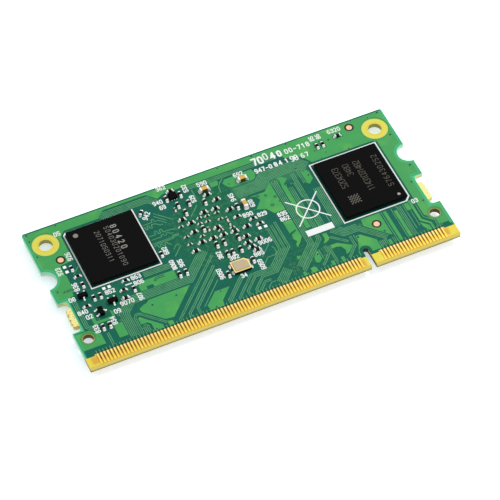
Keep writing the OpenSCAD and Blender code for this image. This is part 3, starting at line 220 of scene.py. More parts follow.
# The floor's half width in metres, its tint, and the strength and tint of the light that clears it to white
FLOOR_REACH = 2.0
FLOOR_TINT = (0.9, 0.95, 1)
CLEARING = 0.56
CLEARING_TINT = (0.9, 0.96, 1)
# The crystal's solder: how far off the middle it stands, its width, height and reach
CRYSTAL_SOLDER = (0.72, 0.7, 0.45, 0.32)


def shade(red, green, blue):
    """A colour as it is seen, from 0 to 255, as the linear values that a shader takes."""
    return tuple(
        value / 255 / 12.92 if value <= 10.3 else ((value / 255 + 0.055) / 1.055) ** 2.4
        for value in (red, green, blue)
    )


def colour_choice(label, what, red, green, blue):
    return bpy.props.FloatVectorProperty(
        name=label, description=what, subtype="COLOR", size=3, min=0, max=1, default=shade(red, green, blue)
    )


def length_choice(label, what, millimetres):
    return bpy.props.FloatProperty(
        name=label, description=what, subtype="DISTANCE", unit="LENGTH", min=0, default=millimetres * MM
    )


def place_choice(label, what, place):
    return bpy.props.FloatVectorProperty(
        name=label, description=what, subtype="TRANSLATION", unit="LENGTH", default=place
    )


class BoardColours(bpy.types.PropertyGroup):
    """Colours of the finishes"""

    mask: colour_choice("Solder mask", "Mask over bare laminate", 0, 96, 80)
    mask_over_planes: colour_choice("Mask over planes", "Mask where inner copper shows through", 12, 98, 66)
    field: colour_choice("Masked copper", "Mask over a copper field", 66, 160, 86)
    trace: colour_choice("Masked trace", "Mask over a trace", 88, 158, 110)
    # Painted glow: the mask is painted pale mint along the board's edges
    rim: colour_choice("Board rim", "Mask at the board's own edge, lit through the laminate", 84, 206, 146)
    laminate: colour_choice("Laminate", "Bare glass laminate", 232, 220, 66)
    # Painted shade on the laminate between the contacts
    gap: colour_choice("Contact gaps", "Laminate between the contacts", 92, 52, 6)
    # Painted glow: the side walls are painted pale mint, brighter than the laminate itself
    side: colour_choice("Board sides", "Routed side walls under the mask", 164, 240, 200)
    front: colour_choice("Contact edge", "Bevels and wall of the contact edge", 220, 190, 60)
    gold: colour_choice("Gold", "Plating of the edge contacts", 248, 210, 80)
    copper: colour_choice("Copper", "Bare fiducial marks", 255, 184, 148)
    ink: colour_choice("Ink", "Printed ink", 240, 244, 243)
    mould: colour_choice("Moulding compound", "Chip packages", 6, 6, 7)
    laser: colour_choice("Laser mark", "Marks burnt into the packages", 150, 148, 142)
    substrate: colour_choice("Substrate", "Edges of the packages' substrates", 10, 34, 20)
    solder: colour_choice("Solder", "Solder and tinned ends", 253, 253, 251)
    capacitor: colour_choice("Small capacitor", "Ceramic of the small capacitors", 12, 7, 5)
    tan: colour_choice("Tan capacitor", "Ceramic of the larger capacitors", 214, 174, 78)
    alumina: colour_choice("Alumina", "Ceramic of the resistors", 150, 148, 140)
    ferrite: colour_choice("Ferrite", "Bodies of the inductors", 60, 60, 62)
    ring: colour_choice("Crystal ring", "Plated ring round the crystal's lid", 248, 226, 150)
    lid: colour_choice("Crystal lid", "Plated lid of the crystal", 184, 168, 134)
    hole: colour_choice("Via hole", "Filled middle of a via", 6, 70, 38)


class BoardSizes(bpy.types.PropertyGroup):
    """Sizes of what is printed, drilled and soldered"""

    pen: length_choice("Pen", "Width of a printed stroke", 0.21)
    ink_height: length_choice("Ink height", "Height of printed ink above the mask", 0.05)
    via: length_choice("Via ring", "Width of the low ring round a via", 0.1)
    via_height: length_choice("Via height", "Height of a via's ring above the mask", 0.044)
    fillet_reach: length_choice("Solder reach", "How far solder runs out from a terminal", 0.3)
    chip_round: length_choice("Terminal rounding", "Radius of the dipped edges of a small part's ends", 0.09)
    body_round: length_choice("Body rounding", "Radius of the edges of small ceramic bodies", 0.02)
    package_round: length_choice("Package rounding", "Radius of a package's edges", 0.025)


class BoardStage(bpy.types.PropertyGroup):
    """The camera, the lights and the floor"""

    camera_place: place_choice("Camera", "Where the camera stands", (-0.11728, -0.26967, 0.3667))
    camera_aim: place_choice("Aim", "The point that the camera looks at", (0.00066, -0.00214, 0.0))
    camera_roll: bpy.props.FloatProperty(
        name="Roll", description="Turn of the camera about its own line of sight", subtype="ANGLE",
        default=math.radians(-0.872),
    )
    lens: bpy.props.FloatProperty(
        name="Lens", description="Focal length for a 36 mm sensor", min=10, default=199.66
    )
    sky: bpy.props.FloatProperty(
        name="Sky", description="Strength of the even light all round", min=0, default=0.6
    )
    key: bpy.props.FloatProperty(
        name="Key light", description="Power of the large soft light", subtype="POWER", unit="POWER", min=0,
        default=2.95,
    )
    key_place: place_choice("Key place", "Where the soft light hangs", (0.45, 0.14, 0.55))
    key_size: length_choice("Key size", "Width of the soft light", 300)
    floor: colour_choice("Floor", "The plain floor", 255, 255, 255)


def on_board(x, y, height, below=False):
    """A place in millimetres from the board's front left corner, and a height off its upper or lower face."""
    z = LOWER_FACE - height * MM if below else UPPER_FACE + height * MM
    return Vector((BOARD_LOW.x + x * MM, BOARD_LOW.y + y * MM, z))


# Shaders


def give(socket, value):
    """Sets a node's input to a plain value, or links it to the output that a Value holds."""
    if isinstance(value, Value):
        socket.id_data.links.new(value.socket, socket)
    elif socket.type == "RGBA":
        socket.default_value = (*value, 1)
    else:
        socket.default_value = value


def new_node(tree, kind, inputs=None, **settings):
    """Adds a node with its settings, and gives its inputs, which are known by name or by number."""
    node = tree.nodes.new(kind)
    for name, setting in settings.items():
        setattr(node, name, setting)
    for place, value in (inputs or {}).items():
        give(node.inputs[place], value)
    return node


def worked_out(operation, *values):
    """What a math node makes of some values, at least one of which is a Value."""
    tree = next(value.socket.id_data for value in values if isinstance(value, Value))
    return Value(new_node(tree, "ShaderNodeMath", dict(enumerate(values)), operation=operation))


def in_turn(operation, first, *others):
    """One value from several by a math node at each step, such as the least of them by MINIMUM."""
    for other in others:
        first = worked_out(operation, first, other)
    return first


def either(*shares):
    return in_turn("MAXIMUM", *shares)


def layered(ground, *layers):
    """A ground with colours laid over it in turn. Each layer is where it shows and its colour."""
    for share, colour in layers:
        ground = share.mix(ground, colour)
    return ground


class Value:
    """A number or colour that a node gives at each point of a surface. Arithmetic with it adds nodes."""

    def __init__(self, node, output=0):
        self.socket = node.outputs[output]

    def __add__(self, other):
        return worked_out("ADD", self, other)

    def __sub__(self, other):
        return worked_out("SUBTRACT", self, other)

    def __rsub__(self, other):
        return worked_out("SUBTRACT", other, self)

    def __mul__(self, other):
        return worked_out("MULTIPLY", self, other)

    def __abs__(self):
        return worked_out("ABSOLUTE", self)

    def ranged(self, limits):
        return Value(new_node(self.socket.id_data, "ShaderNodeMapRange", {"Value": self, **limits}))

    def spread(self, low, high):
        """From 0 at low to 1 at high, and level beyond them."""
        return self.ranged({"From Min": low, "From Max": high})

    def between(self, low, high):
        """From low at 0 to high at 1."""
        return self.ranged({"To Min": low, "To Max": high})

    def inside(self, low, high, soft=0.05):
        """1 between low and high, falling to 0 over soft at both ends."""
        return self.spread(low - soft, low + soft) * self.spread(high + soft, high - soft)

    def wave(self, pitch):
        """A sine from -1 to 1 that repeats after pitch."""
        return worked_out("SINE", self * (2 * math.pi / pitch))

    def mix(self, first, second):
        """From the first colour at 0 to the second at 1."""
        inputs = {"Factor": self, 6: first, 7: second}
        return Value(new_node(self.socket.id_data, "ShaderNodeMix", inputs, data_type="RGBA"), 2)


class Finish:
    """One material, and the places on the board, in millimetres, by which its colours are laid."""

    def __init__(self, name, colour, metallic=0.0, specular=0.5):
        self.material = bpy.data.materials.new(name)
        self.material.use_nodes = True
        self.material.diffuse_color = (*colour, 1)
        self.tree = self.material.node_tree
        self.shader = self.tree.nodes["Principled BSDF"]
        self.colour = tuple(colour)
        give(self.shader.inputs["Metallic"], metallic)
        give(self.shader.inputs["Specular IOR Level"], specular)
        in_metres = Value(new_node(self.tree, "ShaderNodeTexCoord"), "Object")
        corner = (-BOARD_LOW.x / MM, -BOARD_LOW.y / MM, -UPPER_FACE / MM)
        self.places = self.vector("MULTIPLY_ADD", in_metres, (1 / MM, 1 / MM, 1 / MM), corner)
        split = new_node(self.tree, "ShaderNodeSeparateXYZ", {0: self.places})
        self.x, self.y, self.z = (Value(split, axis) for axis in "XYZ")
        # The board's outline is the same at both sides, so its features are read from the nearer one
        self.in_from_side = HALF_WIDTH - abs(self.x - HALF_WIDTH)

    def vector(self, operation, *values):
        inputs = dict(enumerate(values))
        return Value(new_node(self.tree, "ShaderNodeVectorMath", inputs, operation=operation))

    def reach(self, x, y, mirrored=False):
        """How far a place on the board is, or the nearer of two such places that mirror each other."""
        across = (self.in_from_side if mirrored else self.x) - x
        along = self.y - y
        return worked_out("SQRT", across * across + along * along)

    def disc(self, x, y, radius, soft=0.05, mirrored=False):
        """1 within radius of a place on the board."""
        return self.reach(x, y, mirrored).spread(radius + soft, radius - soft)

    def round_hole(self, hole, radius, soft=0.05):
        """1 within radius of the middle of a hole, which stands at both sides of the board."""
        return self.disc(*hole, radius, soft, mirrored=True)

    def box(self, left, front, right, far, soft=0.05):
        """1 within a rectangle on the board."""
        return self.x.inside(left, right, soft) * self.y.inside(front, far, soft)

    def noise(self, grain, detail=2.0, stretch=(1, 1, 1)):
        """Cloudy noise whose blotches are about grain millimetres across."""
        places = self.vector("MULTIPLY", self.places, stretch)
        return Value(new_node(
            self.tree, "ShaderNodeTexNoise", {"Vector": places, "Scale": 1 / grain, "Detail": detail}
        ))

    def blotches(self, grain, cover, detail=2.0):
        """Noise drawn out into blotches that cover about this share of the surface."""
        return self.noise(grain, detail).spread(0.62 - 0.25 * cover, 0.72 - 0.25 * cover)

    def weave(self, pitch):
        """Glass cloth: threads over and under each other, as a height from 0 to 1."""
        return self.x.wave(pitch) * self.y.wave(pitch) * 0.5 + 0.5

    def facing(self, axis):
        """How far the surface looks along the X, Y or Z axis, to either side of it, from 0 to 1."""
        normal = Value(new_node(self.tree, "ShaderNodeNewGeometry"), "True Normal")
        return abs(Value(new_node(self.tree, "ShaderNodeSeparateXYZ", {0: normal}), axis))

    def tone(self, share, depth):
        """The finish's own colour, darker by depth where share is 0 and lighter by as much where it is 1."""
        dark = [value * (1 - depth) for value in self.colour]
        light = [min(value * (1 + depth), 1) for value in self.colour]
        return share.mix(dark, light)

    def coat(self, colour, roughness, relief, depth):
        """Gives the shader its colour and roughness, and relief from 0 to 1 that stands depth millimetres."""
        give(self.shader.inputs["Base Color"], colour)
        give(self.shader.inputs["Roughness"], roughness)
        bump = new_node(self.tree, "ShaderNodeBump", {"Height": relief, "Distance": depth * MM})
        give(self.shader.inputs["Normal"], Value(bump))
        return self.material


def colours():
    return bpy.context.scene.board_colours


def sizes():
    return bpy.context.scene.board_sizes


def near_edge(finish, width):
    """1 at the board's sides, far edge, notches and recesses, falling to 0 at width millimetres in."""
    side, y = finish.in_from_side, finish.y
    to_notch = finish.reach(0, NOTCH_Y, mirrored=True) - NOTCH_RADIUS
    to_recess = in_turn("MAXIMUM", side - RECESS_DEPTH, RECESS_FRONT - y, y - RECESS_BACK)
    return in_turn("MINIMUM", side, DEPTH + FAR_RIM_SHIFT - y, to_notch, to_recess).spread(width, 0.0)


def at_recess(finish, depth, soft=0.05):
    """1 in the recesses at the board's sides, for depth millimetres in."""
    return finish.in_from_side.spread(depth + soft, depth - soft) * finish.y.inside(RECESS_FRONT, RECESS_BACK)


def contact_rows(finish):
    return either(finish.x.inside(*LONG_ROW), finish.x.inside(*SHORT_ROW))


def round_package(finish, node, border=0.5):
    """1 on the upper face under a package and for border millimetres round it, where the mask gets painted
    shade.
    """
    low, high = ((corner - BOARD_LOW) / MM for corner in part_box(node))
    spot = finish.box(low.x - border, low.y - border, high.x + border, high.y + border, 0.15)
    return spot * finish.z.spread(*MID_BOARD)


def mask_finish():
    """Mask on bare laminate: blue green, and greener and mottled where inner planes show through, with
    painted shade round the packages and behind the contact rows, and a painted glow at the board's edges.
    """
    finish = Finish("bare_solder_mask", colours().mask, specular=0.16)
    planes = colours().mask_over_planes
    mottled = (finish.blotches(0.7, 0.5, 3) * 0.7).mix(planes, shade(48, 126, 82))
    patches = (finish.disc(x, y, radius, soft) * strength for x, y, radius, soft, strength in MOTTLED_PATCHES)
    # Painted shade: a dark strip on the mask just behind the contact rows
    shade_behind_contacts = finish.y.spread(CONTACTS_END + 0.05, CONTACTS_END - 0.1)
    # Painted shade on the mask under and round the marked packages, where their shadows fall
    package_shade = [(round_package(finish, node) * 0.75, shade(0, 50, 40)) for node in MARKED_CAPS]
    corner_rings = finish.round_hole(CORNER_HOLE, CORNER_RING)
    locating_rings = finish.round_hole(LOCATING_HOLE, LOCATING_RING, 0.1)
    ground = layered(
        finish.tone(finish.noise(2.6, 3), 0.18),
        (finish.blotches(1.8, 0.35) * 0.6, planes),
        (either(*patches), mottled),
        (finish.box(*PLANE_BAND, 0.4) * 0.8, shade(52, 124, 90)),
        (finish.blotches(0.33, 0.42, 3) * 0.09, shade(60, 140, 96)),
        *package_shade,
        (contact_rows(finish) * shade_behind_contacts * 0.8, shade(0, 52, 34)),
        (either(corner_rings, locating_rings), shade(66, 150, 84)),
        # Painted glow along the board's edges
        (near_edge(finish, 0.42), colours().rim),
    )
    relief = finish.weave(CLOTH_UNDER_MASK) + finish.noise(0.9, 2)
    return finish.coat(ground, finish.noise(0.6, 3).between(0.24, 0.38), relief, 0.004)


def field_finish():
    """Mask on copper fields: paler, warmer in broad clouds, and with faint lines of the layers below."""
    finish = Finish("masked_copper_field", colours().field, specular=0.2)
    lines = (finish.x + finish.y).wave(0.9).spread(0.7, 1.0)
    ground = layered(
        finish.tone(finish.noise(1.1, 4), 0.08),
        (finish.blotches(5, 0.4, 3), shade(84, 170, 84)),
        (finish.x.spread(58, 67) * 0.4, shade(70, 156, 92)),
        (lines * finish.blotches(3.2, 0.3) * 0.14, colours().mask),
        # Painted glow along the board's edges
        (near_edge(finish, 0.6), colours().rim),
    )
    return finish.coat(ground, finish.noise(0.5, 3).between(0.28, 0.42), finish.noise(0.35, 3), 0.003)


def trace_finish():
    finish = Finish("masked_trace", colours().trace, specular=0.2)
    cloud = (finish.blotches(1.2, 0.4) * 0.5).mix(finish.tone(finish.noise(1.4, 3), 0.14), shade(52, 132, 86))
    return finish.coat(cloud, finish.noise(0.4, 2).between(0.26, 0.4), finish.noise(0.2, 2), 0.003)


def broken_laminate(finish):
    """The torn tabs: pale epoxy with frayed brown fibres, fewer of them at the right side."""
    fibres = finish.blotches(0.45, 0.35, 3) * finish.x.spread(30, 40).between(0.75, 0.2)
    return fibres.mix(shade(246, 239, 156), shade(204, 164, 90))


def laminate_face(finish):
    """Bare epoxy over glass cloth, as the faces show it through the openings of the mask."""
    y = finish.y
    land = finish.round_hole(CORNER_HOLE, CORNER_LAND)
    outer = land - land * finish.round_hole(CORNER_HOLE, CORNER_LAND_INNER, 0.25)
    inner, outside = CORNER_COLLAR
    collar = finish.round_hole(CORNER_HOLE, outside, 0.3) - finish.round_hole(CORNER_HOLE, inner, 0.1)
    edge = finish.noise(1.2, 2).mix(shade(236, 222, 76), shade(226, 208, 66))
    row_ends = either(*(finish.box(*end, 0.25) for end in ROW_ENDS))
    gaps = contact_rows(finish) * y.inside(CONTACT_START, CONTACTS_END, 0.08)
    locating_land = finish.noise(0.3, 2).mix(shade(150, 158, 84), shade(126, 140, 72))
    marks = either(*(finish.disc(*mark, MARK_OPENING) for mark in UPPER_MARKS + LOWER_MARKS))
    return layered(
        finish.tone(finish.weave(CLOTH_PITCH), 0.05),
        (finish.noise(0.9, 3), shade(222, 214, 92)),
        (outer * 0.55, shade(190, 206, 104)),
        (collar * 0.5, shade(204, 190, 58)),
        (at_recess(finish, RECESS_DEPTH + 0.05), broken_laminate(finish)),
        (y.spread(3.1, 2.9), edge),
        (row_ends * 0.75, shade(218, 150, 54)),
        # Painted shade between the contacts, darkest inwards and lighter towards the front edge
        (gaps, y.spread(1.5, 0.5).mix(colours().gap, shade(214, 158, 50))),
        (y.spread(CONTACT_START + 0.04, CONTACT_START - 0.04), colours().front),
        (finish.round_hole(LOCATING_HOLE, LOCATING_LAND), locating_land),
        (marks, shade(14, 22, 10)),
    )


def laminate_wall(finish):
    """Sawn plies on the board's walls: mint under the mask at the sides, brightened as a painted glow, straw
    at the contact edge with a painted highlight above and a painted shadow at its foot, and painted shade in
    the key slot.
    """
    y, z = finish.y, finish.z
    frayed = z.wave(PLY_PITCH) * 0.2 + finish.noise(0.12, 3, (0.35, 0.35, 2.5))
    # Pale mint sides, palest towards the foot: painted glow of light through the laminate
    side = layered(
        colours().side,
        (z.spread(-0.35, -0.85) * 0.7, shade(250, 252, 226)),
        (frayed * 0.3, shade(236, 244, 222)),
        (at_recess(finish, RECESS_DEPTH - 0.1, 0.03), broken_laminate(finish)),
    )
    # A paler upper band, a painted highlight where the bevel faces the light, and a dark foot line, a painted
    # shadow under the board's edge
    front = layered(
        z.spread(-0.28, -0.38).mix(shade(228, 214, 112), shade(212, 184, 78)),
        (frayed * 0.3, shade(226, 206, 120)),
        (z.spread(-0.56, -0.66), shade(74, 56, 28)),
    )
    at_front = either(y.spread(0.35, 0.2), y.spread(3.0, 2.6) * finish.facing("X").spread(0.5, 0.8))
    in_key = finish.x.inside(KEY_X - 0.7, KEY_X + 0.7) * y.inside(0.3, KEY_LENGTH + 0.3)
    # Painted shade on the key slot's walls, deep down and at its far end
    shaded_in_key = either(y.spread(KEY_LENGTH - 0.6, KEY_LENGTH - 0.4), z.spread(-0.36, -0.5))
    dark = frayed.mix(shade(52, 50, 22), shade(34, 40, 20))
    corner_wall = frayed.mix(shade(206, 204, 140), shade(176, 170, 92))
    locating_wall = frayed.mix(shade(140, 110, 58), shade(104, 80, 40))
    return layered(
        side,
        (at_front, front),
        (finish.round_hole(CORNER_HOLE, CORNER_WALL), corner_wall),
        (finish.round_hole(LOCATING_HOLE, LOCATING_WALL), locating_wall),
        (in_key, shaded_in_key.mix(shade(214, 192, 84), dark)),
    )


def laminate_finish():
    finish = Finish("glass_laminate", colours().laminate, specular=0.3)
    ground = finish.facing("Z").spread(0.75, 0.9).mix(laminate_wall(finish), laminate_face(finish))
    relief = finish.weave(CLOTH_PITCH) + finish.noise(0.15, 3)
    return finish.coat(ground, finish.noise(0.3, 3).between(0.42, 0.62), relief, 0.006)


def gold_finish():
    """Hard gold with fine lengthwise rubs: a painted highlight at a contact's inner end, and painted brown
    shade at its sides.
    """
    finish = Finish("contact_gold", colours().gold, metallic=0.8)
    half_pitch = CONTACT_PITCH / 2
    # The lower row stands half a pitch further along
    along_row = finish.x - finish.z.spread(*MID_BOARD[::-1]) * half_pitch - (FIRST_CONTACT - half_pitch)
    off_middle = abs(worked_out("FRACT", along_row * (1 / CONTACT_PITCH)) - 0.5)
    plate = layered(
        finish.tone(finish.noise(1.8, 3), 0.1),
        (finish.blotches(0.9, 0.4, 3) * 0.5, shade(252, 216, 112)),
        # Painted highlight towards the contact's inner end
        (finish.y.spread(1.5, 2.6) * 0.8, shade(255, 236, 160)),
        # Painted shade along the contact's sides, weaker towards the front
        (off_middle.spread(0.14, 0.32) * finish.y.spread(0.6, 1.6).between(0.35, 0.9), shade(160, 106, 22)),
    )
    rubs = finish.noise(0.05, 2, (1, 0.06, 1))
    return finish.coat(plate, rubs.between(0.22, 0.4), rubs, 0.0012)


def ring_finish():
    finish = Finish("crystal_ring", colours().ring, metallic=0.5)
    plate = finish.tone(finish.noise(0.4, 3), 0.08)
    return finish.coat(plate, finish.noise(0.1, 3).between(0.24, 0.4), finish.noise(0.06, 2), 0.001)


def lid_finish():
    finish = Finish("crystal_lid", colours().lid, metallic=0.45)
    brushed = finish.noise(0.06, 3, (0.08, 1, 1))
    return finish.coat(finish.tone(finish.noise(0.9, 3), 0.1), brushed.between(0.3, 0.48), brushed, 0.0015)


def copper_finish():
    finish = Finish("bare_copper_mark", colours().copper, metallic=0.35)
    bright = (finish.noise(0.25, 2) * 0.5).mix(finish.tone(finish.noise(0.3, 3), 0.1), shade(255, 206, 176))
    return finish.coat(bright, finish.noise(0.15, 3).between(0.3, 0.5), finish.noise(0.08, 2), 0.002)


def ink_finish():
    finish = Finish("printed_ink", colours().ink, specular=0.25)
    ink = finish.tone(finish.noise(0.2, 3), 0.04)
    return finish.coat(ink, finish.noise(0.08, 3).between(0.5, 0.75), finish.noise(0.06, 3), 0.003)


def mould_finish():
    """Filled epoxy: a fine sparkle of glass grains in a near-black matt skin."""
    finish = Finish("mould_compound", colours().mould, specular=0.04)
    grain = finish.noise(0.035, 3)
    skin = layered(
        finish.tone(finish.noise(2.2, 4), 0.35),
        (finish.x.spread(48, 22), shade(9, 9, 9)),
        (grain.spread(0.66, 0.78) * 0.16, shade(46, 46, 50)),
    )
    return finish.coat(skin, finish.noise(0.2, 3).between(0.52, 0.72), grain, 0.004)


def on_right_package(finish):
    return finish.x.spread(30, 40)


def laser_finish():
    """Burnt epoxy, paler on the left package."""
    finish = Finish("laser_mark", colours().laser, specular=0.1)
    burnt = on_right_package(finish).mix(finish.tone(finish.noise(0.05, 3), 0.35), shade(110, 106, 96))
    return finish.coat(burnt, finish.noise(0.05, 3).between(0.7, 0.9), finish.noise(0.04, 3), 0.004)


def dimple_finish():
    """The glossy bottom of a moulded dimple, which shows pale as a painted sheen, and palest on the right
    package.
    """
    finish = Finish("dimple_floor", shade(142, 134, 130), specular=0.1)
    pale = on_right_package(finish).mix(finish.tone(finish.noise(0.3, 3), 0.2), shade(168, 167, 164))
    return finish.coat(pale, finish.noise(0.1, 3).between(0.34, 0.5), finish.noise(0.1, 3), 0.003)


def substrate_finish():
    finish = Finish("package_substrate", colours().substrate, specular=0.25)
    plies = finish.tone(finish.noise(0.3, 3, (1, 1, 4)), 0.25)
    return finish.coat(plies, finish.noise(0.2, 2).between(0.32, 0.5), finish.noise(0.1, 3), 0.003)


def solder_finish():
    """Bright tin with the faint ripples of frozen solder."""
    finish = Finish("bright_solder", colours().solder, metallic=0.3, specular=0.8)
    ripples = finish.noise(0.12, 3)
    return finish.coat(finish.tone(finish.noise(0.5, 3), 0.05), ripples.between(0.22, 0.42), ripples, 0.005)


def ceramic_finish(name, colour, roughness, depth, specular=0.3, walls=None):
    """Fired ceramic, with a cloudy tone and, if wanted, painted shade in another colour on the walls."""
    finish = Finish(name, colour, specular=specular)
    tone = finish.tone(finish.noise(0.22, 4), depth)
    # Painted shade on the walls
    if walls:
        tone = finish.facing("Z").spread(0.8, 0.5).mix(tone, walls)
    gloss = finish.noise(0.1, 3).between(roughness - 0.08, roughness + 0.1)
    return finish.coat(tone, gloss, finish.noise(0.05, 3), 0.003)


def hole_finish():
    finish = Finish("via_hole", colours().hole, specular=0.2)
    return finish.coat(finish.tone(finish.noise(0.1, 2), 0.3), 0.5, finish.noise(0.05, 2), 0.004)


# Finishes that more than one operator uses
FINISHES = {}


def both_faces(name):
    return [name + "_top", name + "_bottom"]


def dress(names, material):
    """Gives CAD nodes their material."""
    for name in names:
        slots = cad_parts[name].data.materials
        slots.clear()
        slots.append(material)


def nodes_named(*endings):
    """The CAD nodes whose names end in one of these ways."""
    return [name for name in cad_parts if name.endswith(endings)]


def soften(names, width):
    """Rounds the edges of CAD nodes without changing their own meshes."""
    for name in names:
        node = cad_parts[name]
        joined = node.modifiers.new("joined", "WELD")
        joined.merge_threshold = 1e-7
        rounded = node.modifiers.new("rounded", "BEVEL")
        rounded.width = width
        rounded.segments = 2
        rounded.limit_method = "ANGLE"
        rounded.angle_limit = math.radians(35)
        rounded.use_clamp_overlap = True


# Meshes of the added pieces

# How far the feet of lines and small squares reach under the face that they lie on
SUNK = 0.008
# The rounded end of a line: steps past its last stop, each with its share of the width
ROUND_END = ((0.95, 0.3), (0.6, 0.78))
# The widest round land that counts as a copper dot
WIDEST_DOT = 0.7
# The rounding of the smallest parts' ends, as a share of the others'
SMALLEST_ROUND = 0.6


class PieceMesh:
    """Gathers closed skins, placed in millimetres on the board, and builds one piece from them."""

    def __init__(self, below=False):
        self.below = below
        self.points = []
        self.faces = []
        self.finishes = []

    def ring(self, places):
        start = len(self.points)
        self.points += [on_board(x, y, z, self.below) for x, y, z in places]
        return list(range(start, len(self.points)))

    def face(self, corners, finish=0):
        self.faces.append(corners[::-1] if self.below else corners)
        self.finishes.append(finish)

    def band(self, here, there, finish=0):
        """Joins two rings that have as many points."""
        for i in range(len(here)):
            j = (i + 1) % len(here)
            self.face([here[i], here[j], there[j], there[i]], finish)

    def skin(self, rings, looped=False):
        """Joins rings of points in turn, and closes both ends, or joins the last ring to the first."""
        for here, there in zip(rings, rings[1:]):
            self.band(here, there)
        if looped:
            self.band(rings[-1], rings[0])
        else:
            self.face(rings[0][::-1])
            self.face(rings[-1])

    def build(self, name, materials):
        mesh = bpy.data.meshes.new(name)
        mesh.from_pydata(self.points, [], self.faces)
        for material in materials:
            mesh.materials.append(material)
        mesh.polygons.foreach_set("material_index", self.finishes)
        tidy = bmesh.new()
        tidy.from_mesh(mesh)
        bmesh.ops.recalc_face_normals(tidy, faces=tidy.faces)
        tidy.to_mesh(mesh)
        tidy.free()
        piece = bpy.data.objects.new(name, mesh)
        bpy.context.scene.collection.objects.link(piece)
        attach(piece, "root")
        return piece


def unit(a, b):
    dx, dy = b[0] - a[0], b[1] - a[1]
    length = math.hypot(dx, dy) or 1.0
    return dx / length, dy / length


def raised_line(mesh, route, half_width, height):
    """A line of ink or of a laser mark along a route, with a domed top and rounded ends."""
    looped = route[0] == route[-1]
    stops = route[:-1] if looped else route
    count = len(stops)
    rings = []

    def section(x, y, across, share):
        """One cross section: its foot, a little under the face, its shoulders, and the other foot."""
        wide = half_width * share
        top = height * min(1, share + 0.15)
        rings.append(mesh.ring([
            (x + across[0] * wide * off, y + across[1] * wide * off, level)
            for off, level in ((1, -SUNK), (0.66, top), (-0.66, top), (-1, -SUNK))
        ]))

    for i, (x, y) in enumerate(stops):
        before = unit(stops[i - 1], stops[i]) if looped or i > 0 else unit(stops[0], stops[1])
        after = unit(stops[i], stops[(i + 1) % count]) if looped or i < count - 1 else before
        turn = max(1 + before[0] * after[0] + before[1] * after[1], 0.5)
        across = (-(before[1] + after[1]) / turn, (before[0] + after[0]) / turn)
        if i == 0 and not looped:
            for step, share in ROUND_END:
                section(x - after[0] * half_width * step, y - after[1] * half_width * step, across, share)
        section(x, y, across, 1)
        if i == count - 1 and not looped:
            for step, share in ROUND_END[::-1]:
                section(x + before[0] * half_width * step, y + before[1] * half_width * step, across, share)
    mesh.skin(rings, looped)


def write_number(mesh, digits, x, y, height, turn, pen, rise, mirrored=False, length=None):
    """Writes digits from their lower left corner, turned by some degrees, over a length if one is given."""
    scale = (height - pen) / NUMERAL_HEIGHT
    wide = NUMERAL_WIDTH * NARROW * scale + pen
    pitch = NUMERAL_PITCH * NARROW * scale
    if length and len(digits) > 1:
        pitch = (length - wide) / (len(digits) - 1)
    cos, sin = math.cos(math.radians(turn)), math.sin(math.radians(turn))
    for place, digit in enumerate(digits):
        for order, stroke in enumerate(NUMERALS[digit]):
            route = []
            for u, v in stroke:
                along = u * NARROW * scale + place * pitch + pen / 2
                up = v * scale + pen / 2
                along = -along if mirrored else along
                route.append((x + along * cos - up * sin, y + along * sin + up * cos))
            # Strokes that cross stand at slightly different heights, so that their tops don't coincide
            raised_line(mesh, route, pen / 2, rise * (1 + 0.06 * order))


def lathe(mesh, x, y, profile, sides=20):
    """Turns a profile about an upright line. A point has a radius, a height and the finish from there on."""
    turns = [2 * math.pi * i / sides for i in range(sides)]
    rings = [
        mesh.ring([(x + radius * math.cos(turn), y + radius * math.sin(turn), height) for turn in turns])
        for radius, height, finish in profile
    ]
    finishes = [finish for radius, height, finish in profile]
    for here, there, finish in zip(rings, rings[1:], finishes):
        mesh.band(here, there, finish)
    mesh.face(rings[0][::-1], finishes[0])
    mesh.face(rings[-1], finishes[-1])


def add_via(mesh, x, y, radius, border, height, low=0.6):
    """A plated hole under the mask: a low ring round a dark dimple, both just proud of the copper fields."""
    lathe(mesh, x, y, [
        (radius + border, -VIA_SUNK, 0),
        (radius + border * 0.85, height * low, 0),
        (radius + border * 0.45, height, 0),
        (radius, height * 0.92, 1),
        (radius * 0.85, height * 0.8, 1),
        (radius * 0.4, height * 0.75, 1),
    ], 16)


def plan_boxes(nodes):
    """The box of every solid of some CAD nodes, in millimetres on the board: left, front, right, far."""
    boxes = []
    for node in nodes:
        for points in islands(node):
            across = [(point.x - BOARD_LOW.x) / MM for point in points]
            along = [(point.y - BOARD_LOW.y) / MM for point in points]
            boxes.append((min(across), min(along), max(across), max(along)))
    return boxes


def copper_dots():
    """The round lands among the copper fields, each as its middle and its radius."""
    return [
        ((left + right) / 2, (front + far) / 2, (right - left) / 2)
        for left, front, right, far in plan_boxes(["copper_fields_top"])
        if right - left < WIDEST_DOT and abs((right - left) - (far - front)) < 0.02
    ]


def fan_of_vias():
    """Places for small vias on a square grid, kept clear of the parts. The gaps in the grid are seeded."""
    chance = random.Random(FAN_SEED)
    parts = plan_boxes(nodes_named("terminals_top", "bodies_top"))
    clear = SMALL_VIA + FAN_ROOM
    spots = []
    y = FAN_LOW[1]
    while y < FAN_HIGH[1]:
        x = FAN_LOW[0]
        while x < FAN_HIGH[0]:
            if chance.random() < FAN_SHARE and not any(
                left - clear < x < right + clear and front - clear < y < far + clear
                for left, front, right, far in parts
            ):
                spots.append((x, y))
            x += FAN_PITCH
        y += FAN_PITCH
    return spots


